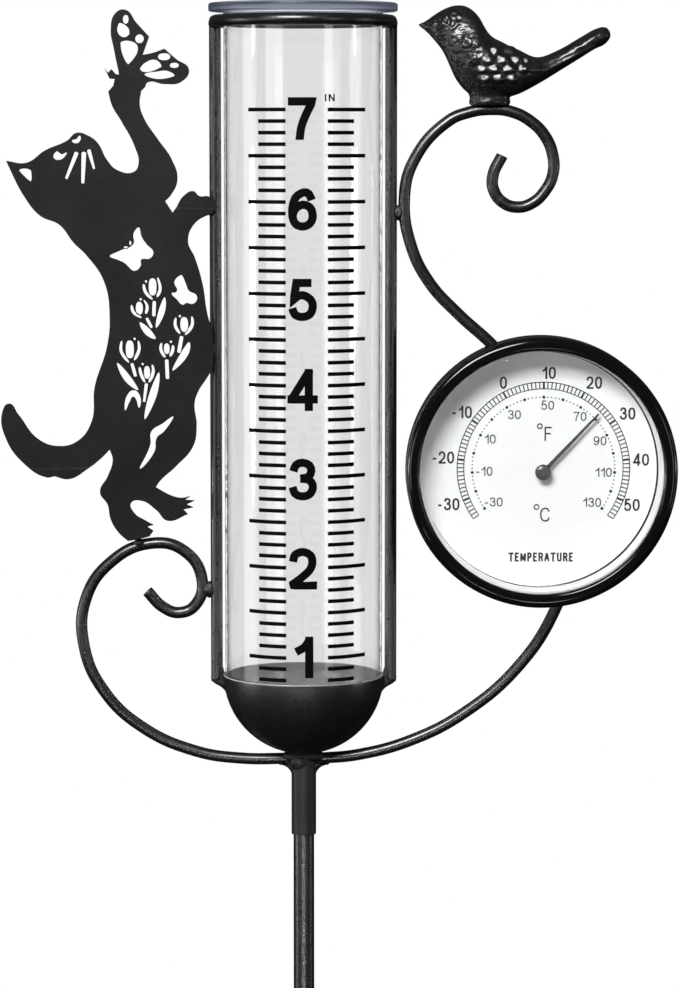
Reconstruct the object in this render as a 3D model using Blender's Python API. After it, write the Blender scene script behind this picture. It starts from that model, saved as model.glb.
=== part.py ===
"""Manual rain gauge on a garden stake: a clear graduated tube in a wire frame with scrolls,
a flat cat, a cast bird and a bimetal dial thermometer.

Run with blender --background --python part.py, or from Blender's text editor.

Sizes below are in millimetres and become metres as each mesh is made. The origin is on the
stake's axis at the soil line, +Z is up, and the printed side of the tube looks along -Y.
"""
import math

import bmesh
import bpy
from mathutils import Vector

MM = 0.001
GAP = 0.3                   # air left between two pieces that touch

# Stake
STAKE_R = 2.9
SOCKET_R = 3.45
SOCKET_BORE_R = 3.0
SPIKE_TIP_Z = -100.0
SPIKE_TAPER = 16.0
SPIKE_TOP_Z = 58.0
SPIKE_SOCKET_Z = (36.0, 82.0)
STAKE_TOP_Z = 301.4
FORK_R = 2.0
FORK_HALF_WIDTH = 29.0
FORK_BAR_Z = 2.0
FORK_TIP_Z = -80.0
FORK_BEND_R = 9.0

# Wire frame round the tube
FRAME_ROD_R = 1.65
SCROLL_ROD_R = 1.62
RING_R = 24.2
RING_Z = 505.4
UPRIGHT_FOOT_Z = 322.9
SOCKET_Z = (279.3, 301.7)

# Cup and tube share the centre of their round bottoms
CUP_Z = 324.6
CUP_R = 22.4
CUP_WALL = 0.4
TUBE_R = 21.7
TUBE_WALL = 1.4
LIP_R = 26.0
LIP_Z = (508.0, 510.3)

# Cat sheet, just in front of the frame's rods
SHEET = 1.5
CAT_Y = -(FRAME_ROD_R + GAP + SHEET / 2)

# Thermometer: centre in X and Z; depths are measured forwards from the plane of the scrolls.
# The movement sits a little off the centre of its case.
DIAL_X = 65.15
DIAL_Z = 382.7
PIVOT_X = 65.84
PIVOT_Z = 382.25
CASE_R = 35.2
CASE_WALL = 1.3
CASE_BACK = (SCROLL_ROD_R + GAP, SCROLL_ROD_R + GAP + 1.6)
CASE_RIM = 16.0
BEZEL_R = 37.05
BEZEL_INNER_R = 33.2
BEZEL_DEPTH = (8.0, 21.3)
LENS_DEPTH = (16.3, 18.1)
GASKET_DEPTH = (18.4, 19.0)
DIAL_PLATE_R = 33.6
DIAL_PLATE_DEPTH = (10.0, 10.5)
PLATE_HOLE_R = 1.8
PRINT_R = 31.5
ARBOR_R = 0.7
ARBOR_BORE_R = 0.78
POINTER_DEPTH = (12.1, 12.6)
POINTER_REACH = 22.2
POINTER_ANGLE = 43.5        # clockwise from straight up
HUB_R = 2.2
COIL_DEPTH = (5.9, 8.5)
COIL_POST_R = 0.8
COIL_POST_AT = 10.6
SCREW_R = 0.95
SCREW_HEAD_R = 1.9
SCREW_HOLE_R = SCREW_R + GAP
CLIP_SHEET = 1.0
CLIP_EAR = 9.0
CLIP_SCREW_AT = 6.2
CLIP_LENGTH = 7.0

# Behind the thermometer the right scroll is one arc, and the two clips sit on it
ARC_CENTRE = (14.85, 368.4)
ARC_R = 61.0
CLIP_ANGLES = {"lower": -8.0, "upper": 32.0}

ROUND = 32                  # sides of the large turned pieces
SMALL = 16                  # sides of the rods, screws and bushes
BOWL_STEPS = 7              # steps from the bottom of a round bowl to its rim


def arc_point(degrees):
    """Point (x, z) of the right scroll behind the thermometer."""
    angle = math.radians(degrees)
    return ARC_CENTRE[0] + ARC_R * math.cos(angle), ARC_CENTRE[1] + ARC_R * math.sin(angle)


# Centre lines of the two scrolls, (x, z), each from the socket outwards
LEFT_SCROLL = [
    (-3.8, 300.6), (-17.8, 300.7), (-29.9, 302.6), (-45.2, 309.5), (-55.75, 319.6),
    (-61.2, 332.0), (-60.7, 345.6), (-53.6, 356.0), (-42.4, 361.2), (-33.5, 359.25),
    (-28.3, 351.1), (-30.2, 343.9), (-34.7, 341.75), (-39.1, 343.25), (-43.6, 347.8),
]
RIGHT_SCROLL = [
    (3.8, 300.6), (15.0, 301.65), (30.1, 305.8), (45.0, 313.6), (60.0, 326.7),
    arc_point(-25.5), arc_point(-8.0), arc_point(12.0), arc_point(32.0), arc_point(52.5),
    (43.0, 424.9), (34.8, 433.8), (29.7, 444.1), (27.9, 457.2), (30.5, 467.3),
    (40.0, 478.15), (51.4, 481.3), (62.0, 477.7), (68.4, 470.2), (69.2, 463.9),
    (64.5, 456.1), (59.5, 453.8), (54.8, 455.5), (52.4, 461.0), (54.8, 468.7),
]

# Cat outline, (x, z). Each row is one smooth stretch that starts at a corner.
CAT_OUTLINE = [
    # butterfly in the paw: upper wing, lower wing
    [(-50.39, 490.85), (-51.79, 497.82), (-52.59, 502.9), (-51.29, 507.49), (-48.6, 508.39), (-45.61, 504.9)],
    [(-42.12, 501.11)],
    [(-43.92, 496.13), (-41.03, 496.73)],
    [(-37.94, 497.82), (-34.75, 495.03), (-31.26, 492.14), (-33.45, 488.75), (-37.94, 488.16), (-42.72, 488.55)],
    # right side of the raised arm, then the second paw that holds the upright
    [(-43.32, 487.36)],
    [(-44.41, 486.26), (-44.81, 482.67), (-43.72, 478.99), (-39.93, 473.21), (-36.04, 467.53), (-34.55, 462.04),
     (-36.34, 457.86)],
    [(-37.94, 456.16)],
    [(-35.94, 453.07), (-35.05, 454.27), (-32.85, 457.66), (-30.26, 458.95), (-28.47, 457.56), (-26.28, 457.56)],
    [(-24.48, 456.66), (-24.18, 454.87)],
    # chest and belly
    [(-24.78, 452.98), (-29.76, 450.13), (-31.71, 445.2), (-29.86, 440.72), (-27.72, 433.34), (-26.38, 424.87)],
    [(-24.88, 420.19)],
    [(-24.78, 410.52), (-26.38, 407.83), (-29.07, 403.64), (-30.06, 400.55), (-29.52, 394.08), (-30.46, 388.64),
     (-35.35, 382.91), (-39.68, 378.93)],
    # raised hind foot, with its four toes
    [(-40.93, 377.13), (-36.69, 374.84), (-33.95, 374.19)],
    [(-31.36, 374.64)],
    [(-32.9, 373.65)],
    [(-30.16, 373.45)],
    [(-32.46, 372.35)],
    [(-30.56, 371.55)],
    [(-33.35, 370.95)],
    [(-32.06, 369.66), (-37.74, 367.87), (-40.73, 370.76), (-45.06, 373.45), (-47.8, 372.75), (-47.11, 370.16),
     (-43.72, 367.77)],
    # standing foot, on the left scroll
    [(-41.62, 366.67)],
    [(-43.42, 366.17)],
    [(-41.62, 364.98)],
    [(-42.72, 363.48), (-45.81, 362.68)],
    [(-48.7, 362.18), (-51.39, 364.68), (-53.48, 368.36), (-54.28, 372.35), (-56.37, 375.84), (-54.18, 380.32),
     (-52.79, 384.91)],
    # other leg, tail, back and neck
    [(-53.58, 387.6), (-55.97, 385.21), (-59.51, 382.42), (-64.94, 379.43)],
    [(-68.93, 380.22), (-71.07, 379.92), (-77.2, 383.61), (-82.29, 390.69), (-83.28, 397.86), (-81.49, 400.35),
     (-78.9, 397.41), (-73.37, 390.49), (-67.93, 388.59), (-62.55, 389.99), (-58.57, 395.47), (-57.67, 404.94),
     (-54.18, 416.2), (-53.38, 424.37), (-54.88, 434.14), (-59.66, 441.31), (-63.2, 444.8), (-67.04, 449.69),
     (-72.27, 452.13), (-76.6, 457.36)],
    # head, with the ear at the left and the nose up
    [(-81.59, 467.23), (-76.01, 466.73), (-70.82, 470.12), (-64.75, 472.81), (-62.15, 474.9), (-58.87, 474.05),
     (-56.57, 472.31), (-53.78, 467.33), (-51.29, 464.83), (-46.51, 464.24), (-45.21, 466.33), (-46.21, 471.11),
     (-50.0, 478.29), (-52.39, 482.37)],
    # raised paw, and the butterfly's head and feelers
    [(-53.38, 486.16)],
    [(-51.99, 487.76)],
    [(-51.59, 489.55)],
    [(-52.99, 489.65)],
    [(-54.38, 492.54)],
    [(-53.48, 491.24)],
    [(-52.49, 492.24)],
    [(-51.29, 490.85)],
]

# Cut-outs of the cat, in the same notation
CAT_CUTS = [
    # ear and the two closed eyes
    [[(-77.9, 464.54), (-76.31, 465.03)], [(-74.81, 464.44)], [(-74.91, 461.75)]],
    [[(-67.64, 469.72), (-68.53, 468.22), (-66.74, 467.63)], [(-64.94, 469.32), (-66.34, 468.97)]],
    [[(-61.26, 474.0), (-61.36, 472.61), (-62.55, 472.11)], [(-63.35, 472.71), (-62.25, 473.11)]],
    # butterfly on the shoulder
    [[(-45.21, 448.89), (-46.61, 447.39), (-46.76, 444.3), (-50.0, 442.71)],
     [(-53.18, 441.12), (-50.99, 440.12), (-49.0, 439.12)],
     [(-48.3, 438.42), (-46.61, 437.13), (-44.81, 438.52), (-44.66, 440.22)],
     [(-44.12, 440.42), (-42.32, 440.52), (-41.32, 442.11), (-43.12, 444.3), (-44.51, 446.4)]],
    # small butterfly beside the belly
    [[(-33.55, 435.78), (-35.44, 434.04), (-34.8, 431.35)],
     [(-36.19, 430.75), (-34.95, 429.36), (-33.15, 427.76)],
     [(-32.26, 428.26), (-30.26, 428.11), (-29.37, 430.05), (-31.66, 431.65), (-32.26, 433.14)]],
    # arch and stripe on the hind leg
    [[(-49.3, 398.66), (-48.75, 402.45), (-46.81, 404.04), (-45.11, 402.25)],
     [(-45.41, 399.36), (-46.21, 401.55), (-47.06, 402.35), (-48.1, 400.95)]],
    [[(-36.04, 396.67), (-38.78, 392.58), (-40.63, 390.99), (-41.23, 387.3)],
     [(-45.21, 382.42), (-42.32, 388.89), (-42.02, 392.58), (-38.83, 394.87)]],
    # cells of the wings of the butterfly in the paw
    [[(-50.19, 504.7), (-47.9, 503.4)], [(-47.65, 501.81), (-49.0, 501.01), (-50.69, 502.41)]],
    [[(-49.8, 499.52), (-47.4, 499.82), (-45.31, 498.32)], [(-47.8, 493.74), (-49.4, 496.33)]],
    [[(-44.56, 492.34), (-43.32, 491.54)], [(-38.93, 492.94), (-40.23, 494.63), (-43.12, 493.99)]],
    [[(-43.32, 490.8), (-39.83, 489.65)], [(-35.35, 490.45), (-37.04, 491.64), (-40.23, 491.49)]],
]

# Round cut-outs: centre, half width, half height
CAT_OVALS = [
    ((-48.5, 505.79), 0.8, 1.2), ((-44.76, 500.51), 1.2, 1.2), ((-38.04, 495.63), 1.7, 0.95),
    ((-35.25, 493.29), 1.25, 0.7), ((-47.6, 444.7), 0.3, 0.6), ((-48.8, 443.51), 0.6, 0.3),
]

# Straight cut-outs, whiskers and stems: one end and its width, other end and its width
CAT_SLOTS = [
    ((-62.25, 469.32), 1.0, (-65.04, 462.54), 0.6), ((-60.21, 469.32), 1.15, (-60.56, 461.35), 0.75),
    ((-58.82, 470.02), 0.9, (-57.47, 465.23), 0.5),
    ((-41.08, 428.46), 0.75, (-41.23, 424.77), 0.75), ((-43.12, 423.87), 0.6, (-41.92, 421.58), 0.6),
    ((-33.55, 418.99), 0.8, (-34.35, 414.71), 0.8), ((-47.3, 411.32), 0.7, (-46.41, 408.13), 0.7),
    ((-43.37, 405.74), 0.75, (-44.02, 401.05), 0.5), ((-37.74, 412.81), 0.85, (-37.54, 407.48), 0.85),
]

# Leaves: the two pointed ends and the middle of each side
CAT_LEAVES = [
    ((-38.24, 429.65), (-38.14, 426.17), (-40.53, 421.48), (-40.03, 425.37)),
    ((-45.06, 422.73), (-42.52, 421.08), (-40.83, 418.39), (-43.52, 419.59)),
    ((-31.51, 417.3), (-31.66, 414.41), (-36.04, 409.62), (-33.75, 414.31)),
    ((-51.39, 411.52), (-48.4, 408.63), (-45.71, 404.24), (-49.2, 406.63)),
    ((-39.93, 408.93), (-40.43, 403.24), (-43.82, 396.17), (-42.82, 402.15)),
]

# Tulips: centre, the middle petal's half width and height, then each side petal's two ends
# and the middle of its outer side, and the loose dot, all from the centre
CAT_TULIPS = [
    ((-41.52, 432.64), (1.1, 2.4), ((-2.5, 0.7), (-2.3, -1.6), (-0.1, -3.4)),
     ((1.45, 2.5), (2.4, -0.9), (1.2, -2.7)), (-1.8, 1.5)),
    ((-45.21, 426.76), (1.0, 1.8), ((-2.15, 0.8), (-2.0, -1.2), (0.5, -2.6)),
     ((1.35, 2.2), (2.5, 0.4), (1.75, -1.5)), (0.4, 2.45)),
    ((-32.85, 422.28), (1.1, 2.1), ((-2.35, 1.8), (-2.8, -0.5), (-1.2, -2.5)),
     ((2.2, 2.1), (2.5, -0.4), (0.3, -2.8)), (-1.2, 2.3)),
    ((-47.9, 415.4), (1.15, 2.5), ((-2.25, 2.25), (-2.75, -0.6), (-0.3, -3.6)),
     ((2.4, 2.3), (2.9, -0.2), (1.25, -2.9)), (1.35, 2.9)),
    ((-43.17, 409.03), (0.85, 1.8), ((-2.05, 1.4), (-2.1, -0.4), (-0.65, -2.7)),
     ((1.5, 2.05), (2.05, 0.0), (0.5, -2.7)), (-1.2, 2.3)),
    ((-37.69, 415.6), (0.8, 1.5), ((-1.5, 1.5), (-2.0, -0.3), (-0.5, -2.4)),
     ((1.75, 0.9), (2.0, -0.5), (0.9, -2.1)), (1.15, 1.9)),
]
PETAL_WIDTH = 0.8
OUTLINE_STEPS = 3           # straight edges from one outline point to the next
CUT_STEPS = 2
TULIP_DOT_R = 0.35

# Bird: x, then the heights of its back and its belly, and its half width there
BIRD_SECTIONS = [
    (32.0, 504.6, 504.2, 0.3), (33.9, 505.6, 502.4, 1.3), (36.0, 507.1, 500.2, 3.2),
    (38.5, 508.6, 496.9, 4.6), (42.0, 509.7, 489.5, 5.8), (45.0, 509.3, 486.0, 6.8),
    (48.0, 506.9, 484.7, 7.6), (50.8, 502.3, 484.4, 8.0), (55.1, 499.5, 484.4, 7.8),
    (59.0, 497.7, 485.4, 6.8), (64.0, 495.6, 487.9, 5.2), (70.0, 497.5, 491.5, 3.9),
    (76.0, 500.9, 495.2, 4.0), (81.5, 503.6, 498.5, 4.3), (84.1, 502.0, 500.6, 3.0),
]
BIRD_SIDES = 14
PERCH_X = (45.4, 57.2)
PERCH_Z = (483.15, 489.0)
PERCH_HALF_DEPTH = 4.6


def clear_scene():
    """Empty the scene."""
    for thing in list(bpy.data.objects):
        bpy.data.objects.remove(thing, do_unlink=True)


def material(name, colour, roughness, metallic=0.0, transmission=0.0):
    """One Principled material."""
    made = bpy.data.materials.new(name)
    made.use_nodes = True
    made.diffuse_color = (*colour, 1.0)
    shader = made.node_tree.nodes["Principled BSDF"]
    shader.inputs["Base Color"].default_value = (*colour, 1.0)
    shader.inputs["Roughness"].default_value = roughness
    shader.inputs["Metallic"].default_value = metallic
    shader.inputs["Transmission Weight"].default_value = transmission
    return made


def finish_mesh(name, mesh, finish, parent=None):
    """Put a mesh in the scene as one named, smooth-shaded object."""
    mesh.materials.append(finish)
    mesh.shade_smooth()
    mesh.set_sharp_from_angle(angle=math.radians(35))
    made = bpy.data.objects.new(name, mesh)
    made.parent = parent
    bpy.context.collection.objects.link(made)
    return made


def arc(centre, radius, start, end, steps):
    """Points (u, v) along an arc, both ends included, angles in degrees."""
    points = []
    for step in range(steps + 1):
        angle = math.radians(start + (end - start) * step / steps)
        points.append((centre[0] + radius * math.cos(angle), centre[1] + radius * math.sin(angle)))
    return points


def turned(name, profile, finish, sides=ROUND, parent=None):
    """Solid of revolution about local Z from a closed (radius, height) profile, anticlockwise."""
    mesh = bpy.data.meshes.new(name)
    solid = bmesh.new()
    rings = []
    for radius, height in profile:
        if radius < 1e-6:
            rings.append([solid.verts.new((0.0, 0.0, height * MM))])
            continue
        ring = []
        for side in range(sides):
            angle = math.tau * side / sides
            across = (radius * MM * math.cos(angle), radius * MM * math.sin(angle), height * MM)
            ring.append(solid.verts.new(across))
        rings.append(ring)
    for here, there in zip(rings, rings[1:] + rings[:1]):
        for side in range(sides):
            after = (side + 1) % sides
            if len(here) == 1 and len(there) == 1:
                break
            if len(here) == 1:
                solid.faces.new((here[0], there[after], there[side]))
            elif len(there) == 1:
                solid.faces.new((here[side], here[after], there[0]))
            else:
                solid.faces.new((here[side], here[after], there[after], there[side]))
    solid.to_mesh(mesh)
    solid.free()
    return finish_mesh(name, mesh, finish, parent)


def swept(name, points, radius, finish, smooth, depth=0.0):
    """Round rod along (x, z) points at one depth, through a smooth curve or straight from each to each."""
    curve = bpy.data.curves.new(name, "CURVE")
    curve.dimensions = "3D"
    curve.bevel_depth = radius * MM
    curve.bevel_resolution = 2
    curve.use_fill_caps = True
    curve.resolution_u = 3
    curve.materials.append(finish)
    spline = curve.splines.new("BEZIER" if smooth else "POLY")
    if smooth:
        spline.bezier_points.add(len(points) - 1)
        for knot, (x, z) in zip(spline.bezier_points, points):
            knot.co = (x * MM, depth * MM, z * MM)
            knot.handle_left_type = "AUTO"
            knot.handle_right_type = "AUTO"
    else:
        spline.points.add(len(points) - 1)
        for knot, (x, z) in zip(spline.points, points):
            knot.co = (x * MM, depth * MM, z * MM, 1.0)
    made = bpy.data.objects.new(name, curve)
    bpy.context.collection.objects.link(made)
    return made


def extruded(name, outline, thickness, finish, parent=None):
    """Prism along local Z from an anticlockwise (x, y) outline, centred on its own thickness."""
    mesh = bpy.data.meshes.new(name)
    solid = bmesh.new()
    corners = [solid.verts.new((x * MM, y * MM, -thickness / 2 * MM)) for x, y in outline]
    base = solid.faces.new(corners)
    top = bmesh.ops.extrude_face_region(solid, geom=[base])["geom"]
    raised = [item for item in top if isinstance(item, bmesh.types.BMVert)]
    bmesh.ops.translate(solid, verts=raised, vec=(0.0, 0.0, thickness * MM))
    bmesh.ops.recalc_face_normals(solid, faces=solid.faces)
    solid.to_mesh(mesh)
    solid.free()
    return finish_mesh(name, mesh, finish, parent)


def drill(target, holes, finish):
    """Cut round holes along local Z, given as (x, y, radius), through the target."""
    for number, (x, y, radius) in enumerate(holes):
        profile = [(0.0, -30.0), (radius, -30.0), (radius, 30.0), (0.0, 30.0)]
        tool = turned(target.name + "_drill_" + str(number), profile, finish, sides=12)
        tool.parent = target
        tool.location = (x * MM, y * MM, 0.0)
        tool.hide_render = True
        tool.display_type = "WIRE"
        cut = target.modifiers.new("hole", "BOOLEAN")
        cut.operation = "DIFFERENCE"
        cut.object = tool


def disc_ring(name, inner, outer, depth, finish, parent, sides=ROUND):
    """Flat washer, or a disc where inner is 0, between two depths."""
    low, high = depth
    profile = [(inner, low), (outer, low), (outer, high), (inner, high)]
    return turned(name, profile, finish, sides, parent)


def add_loop(curve, rows):
    """Add one closed outline to a flat curve; each row is smooth and starts at a corner."""
    knots = []
    for row in rows:
        for place, point in enumerate(row):
            knots.append((point, "VECTOR" if place == 0 else "AUTO"))
    spline = curve.splines.new("BEZIER")
    spline.resolution_u = CUT_STEPS
    spline.bezier_points.add(len(knots) - 1)
    for knot, ((x, z), handle) in zip(spline.bezier_points, knots):
        knot.co = (x * MM, z * MM, 0.0)
        knot.handle_left_type = handle
        knot.handle_right_type = handle
    spline.use_cyclic_u = True
    return spline


def add_oval(curve, centre, half_width, half_height):
    """Add one round cut-out to a flat curve."""
    spline = curve.splines.new("BEZIER")
    spline.resolution_u = CUT_STEPS
    spline.bezier_points.add(3)
    for knot, (x, z) in zip(spline.bezier_points, ((1, 0), (0, 1), (-1, 0), (0, -1))):
        knot.co = ((centre[0] + x * half_width) * MM, (centre[1] + z * half_height) * MM, 0.0)
        knot.handle_left_type = "AUTO"
        knot.handle_right_type = "AUTO"
    spline.use_cyclic_u = True


def add_slot(curve, start, start_width, end, end_width):
    """Add one straight cut-out that tapers from start to end."""
    along = (Vector(end) - Vector(start)).normalized()
    across = Vector((-along.y, along.x))
    rows = []
    for middle, half in ((start, start_width / 2), (start, -start_width / 2),
                         (end, -end_width / 2), (end, end_width / 2)):
        corner = Vector(middle) + across * half
        rows.append([(corner.x, corner.y)])
    add_loop(curve, rows)


def add_tulip(curve, centre, size, left, right, dot):
    """Add a tulip: the middle petal, two side petals and a dot."""
    add_oval(curve, centre, *size)
    for first, bulge, last in (left, right):
        inward = math.copysign(PETAL_WIDTH, -bulge[0])
        rows = []
        for corner, middle in ((first, bulge), (last, (bulge[0] + inward, bulge[1] + 0.3))):
            rows.append([(centre[0] + corner[0], centre[1] + corner[1]),
                         (centre[0] + middle[0], centre[1] + middle[1])])
        add_loop(curve, rows)
    add_oval(curve, (centre[0] + dot[0], centre[1] + dot[1]), TULIP_DOT_R, TULIP_DOT_R)


def make_stake(coat):
    """Spike with its step fork and socket, and the rod that plugs into it."""
    tip_z = SPIKE_TIP_Z + SPIKE_TAPER
    spike = [(0.0, SPIKE_TIP_Z), (STAKE_R, tip_z), (STAKE_R, SPIKE_TOP_Z), (0.0, SPIKE_TOP_Z)]
    turned("spike_rod", spike, coat, SMALL)
    disc_ring("spike_socket", SOCKET_BORE_R, SOCKET_R, SPIKE_SOCKET_Z, coat, None, SMALL)

    bend_z = FORK_BAR_Z - FORK_BEND_R
    bend_x = FORK_HALF_WIDTH - FORK_BEND_R
    route = [(-FORK_HALF_WIDTH, FORK_TIP_Z)]
    route += arc((-bend_x, bend_z), FORK_BEND_R, 180, 90, 5)
    route += arc((bend_x, bend_z), FORK_BEND_R, 90, 0, 5)
    route.append((FORK_HALF_WIDTH, FORK_TIP_Z))
    swept("ground_fork", route, FORK_R, coat, smooth=False, depth=STAKE_R + GAP + FORK_R)

    disc_ring("upper_stake", 0.0, STAKE_R, (SPIKE_TOP_Z + GAP, STAKE_TOP_Z), coat, None, SMALL)


def make_frame(coat):
    """Socket, cup, two uprights, ring and scrolls: the welded wire frame."""
    disc_ring("stake_socket", SOCKET_BORE_R, SOCKET_R, SOCKET_Z, coat, None, SMALL)

    centre = (0.0, CUP_Z)
    cup = arc(centre, CUP_R, -90, 0, BOWL_STEPS)
    cup += arc(centre, CUP_R - CUP_WALL, 0, -90, BOWL_STEPS)
    turned("cup", cup, coat)

    upright_z = (UPRIGHT_FOOT_Z, RING_Z - FRAME_ROD_R - GAP)
    for side, x in (("left", -RING_R), ("right", RING_R)):
        upright = disc_ring(side + "_upright", 0.0, FRAME_ROD_R, upright_z, coat, None, 12)
        upright.location.x = x * MM

    ring_section = arc((RING_R, RING_Z), FRAME_ROD_R, 0, 324, 9)
    turned("top_ring", ring_section, coat)

    swept("left_scroll", LEFT_SCROLL, SCROLL_ROD_R, coat, smooth=True)
    swept("right_scroll", RIGHT_SCROLL, SCROLL_ROD_R, coat, smooth=True)


def make_tube(clear):
    """Measuring tube with a round bottom and a flat lip."""
    centre = (0.0, CUP_Z)
    inner_r = TUBE_R - TUBE_WALL
    profile = arc(centre, TUBE_R, -90, 0, BOWL_STEPS)
    profile += [(TUBE_R, LIP_Z[0]), (LIP_R, LIP_Z[0]), (LIP_R, LIP_Z[1]), (inner_r, LIP_Z[1])]
    profile += arc(centre, inner_r, 0, -90, BOWL_STEPS)
    turned("rain_tube", profile, clear)


def make_cat(coat):
    """Cat cut from sheet, upright in the XZ plane."""
    curve = bpy.data.curves.new("cat_silhouette", "CURVE")
    curve.dimensions = "2D"
    curve.fill_mode = "BOTH"
    curve.extrude = SHEET / 2 * MM
    outline = add_loop(curve, CAT_OUTLINE)
    outline.resolution_u = OUTLINE_STEPS
    for rows in CAT_CUTS:
        add_loop(curve, rows)
    for centre, half_width, half_height in CAT_OVALS:
        add_oval(curve, centre, half_width, half_height)
    for slot in CAT_SLOTS:
        add_slot(curve, *slot)
    for tip, one_side, foot, other_side in CAT_LEAVES:
        add_loop(curve, [[tip, one_side], [foot, other_side]])
    for tulip in CAT_TULIPS:
        add_tulip(curve, *tulip)
    flat = bpy.data.objects.new("cat_curve", curve)
    bpy.context.collection.objects.link(flat)
    bpy.context.view_layer.update()
    mesh = bpy.data.meshes.new_from_object(flat.evaluated_get(bpy.context.evaluated_depsgraph_get()))
    bpy.data.objects.remove(flat, do_unlink=True)
    solid = bmesh.new()
    solid.from_mesh(mesh)
    bmesh.ops.remove_doubles(solid, verts=solid.verts, dist=0.00001)
    bmesh.ops.recalc_face_normals(solid, faces=solid.faces)
    solid.to_mesh(mesh)
    solid.free()
    cat = finish_mesh("cat_silhouette", mesh, coat)
    cat.rotation_euler.x = math.radians(90)
    cat.location.y = CAT_Y * MM


def make_bird(coat):
    """Cast bird on a short perch that sits on the right scroll."""
    mesh = bpy.data.meshes.new("bird")
    body = bmesh.new()
    rings = []
    for x, back_z, belly_z, half_width in BIRD_SECTIONS:
        middle = (back_z + belly_z) / 2
        half_height = (back_z - belly_z) / 2
        ring = []
        for side in range(BIRD_SIDES):
            angle = math.tau * (side + 0.5) / BIRD_SIDES
            y = half_width * math.cos(angle)
            z = middle + half_height * math.sin(angle) / math.sin(math.tau * 3.5 / BIRD_SIDES)
            ring.append(body.verts.new((x * MM, y * MM, z * MM)))
        rings.append(ring)
    for here, there in zip(rings, rings[1:]):
        for side in range(BIRD_SIDES):
            after = (side + 1) % BIRD_SIDES
            body.faces.new((here[side], here[after], there[after], there[side]))
    body.faces.new(list(reversed(rings[0])))
    body.faces.new(rings[-1])
    bmesh.ops.recalc_face_normals(body, faces=body.faces)
    body.to_mesh(mesh)
    body.free()
    bird = finish_mesh("bird", mesh, coat)

    perch = disc_ring("bird_perch_form", 0.0, 1.0, PERCH_Z, coat, None, SMALL)
    half_length = (PERCH_X[1] - PERCH_X[0]) / 2
    perch.location.x = (PERCH_X[0] + half_length) * MM
    perch.scale = (half_length, PERCH_HALF_DEPTH, 1.0)
    perch.hide_render = True
    perch.display_type = "WIRE"
    joined = bird.modifiers.new("perch", "BOOLEAN")
    joined.operation = "UNION"
    joined.object = perch


def make_anchor(name, x, z):
    """Empty on an axis that looks forwards along the empty's Z."""
    anchor = bpy.data.objects.new(name, None)
    anchor.location = (x * MM, 0.0, z * MM)
    anchor.rotation_euler.x = math.radians(90)
    bpy.context.collection.objects.link(anchor)
    return anchor


def make_clips(anchor, steel, coat):
    """Two saddle clips over the scroll with two screws each; returns the screws' places."""
    places = []
    round_back = SCROLL_ROD_R + GAP
    ear_front = round_back - GAP
    ear_back = ear_front - CLIP_SHEET
    outer = round_back + CLIP_SHEET
    corner = math.degrees(math.asin(ear_back / outer))
    outline = [(-CLIP_EAR, ear_back)]
    outline += arc((0.0, 0.0), outer, 180 - corner, 360 + corner, 10)
    outline += [(CLIP_EAR, ear_back), (CLIP_EAR, ear_front)]
    inner_corner = math.degrees(math.asin(ear_front / round_back))
    outline += arc((0.0, 0.0), round_back, inner_corner, -180 - inner_corner, 10)
    outline.append((-CLIP_EAR, ear_front))

    for where, degrees in CLIP_ANGLES.items():
        x, z = arc_point(degrees)
        clip = extruded("rod_clip_" + where, outline, CLIP_LENGTH, coat, anchor)
        clip.location = ((x - DIAL_X) * MM, (z - DIAL_Z) * MM, 0.0)
        # the prism's own Y becomes the way forwards, and its X runs across the rod
        clip.rotation_euler = (math.radians(90), 0.0, math.radians(degrees))
        for number, across in enumerate((-CLIP_SCREW_AT, CLIP_SCREW_AT)):
            tool = disc_ring(clip.name + "_drill_" + str(number), 0.0, SCREW_HOLE_R, (-9.0, 9.0),
                             coat, clip, 12)
            tool.rotation_euler.x = math.radians(90)
            tool.location.x = across * MM
            tool.hide_render = True
            tool.display_type = "WIRE"
            cut = clip.modifiers.new("screw_hole", "BOOLEAN")
            cut.operation = "DIFFERENCE"
            cut.object = tool
            turn = math.radians(degrees)
            places.append((x - DIAL_X + across * math.cos(turn), z - DIAL_Z + across * math.sin(turn)))

    head = (ear_back - GAP - 1.3, ear_back - GAP)
    profile = [(0.0, head[0]), (SCREW_HEAD_R * 0.7, head[0]), (SCREW_HEAD_R, head[0] + 0.5),
               (SCREW_HEAD_R, head[1]), (SCREW_R, head[1]), (SCREW_R, 5.0), (0.0, 5.0)]
    for number, (x, y) in enumerate(places, start=1):
        screw = turned("clip_screw_" + str(number), profile, steel, 12, anchor)
        screw.location = (x * MM, y * MM, 0.0)
    return places


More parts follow.
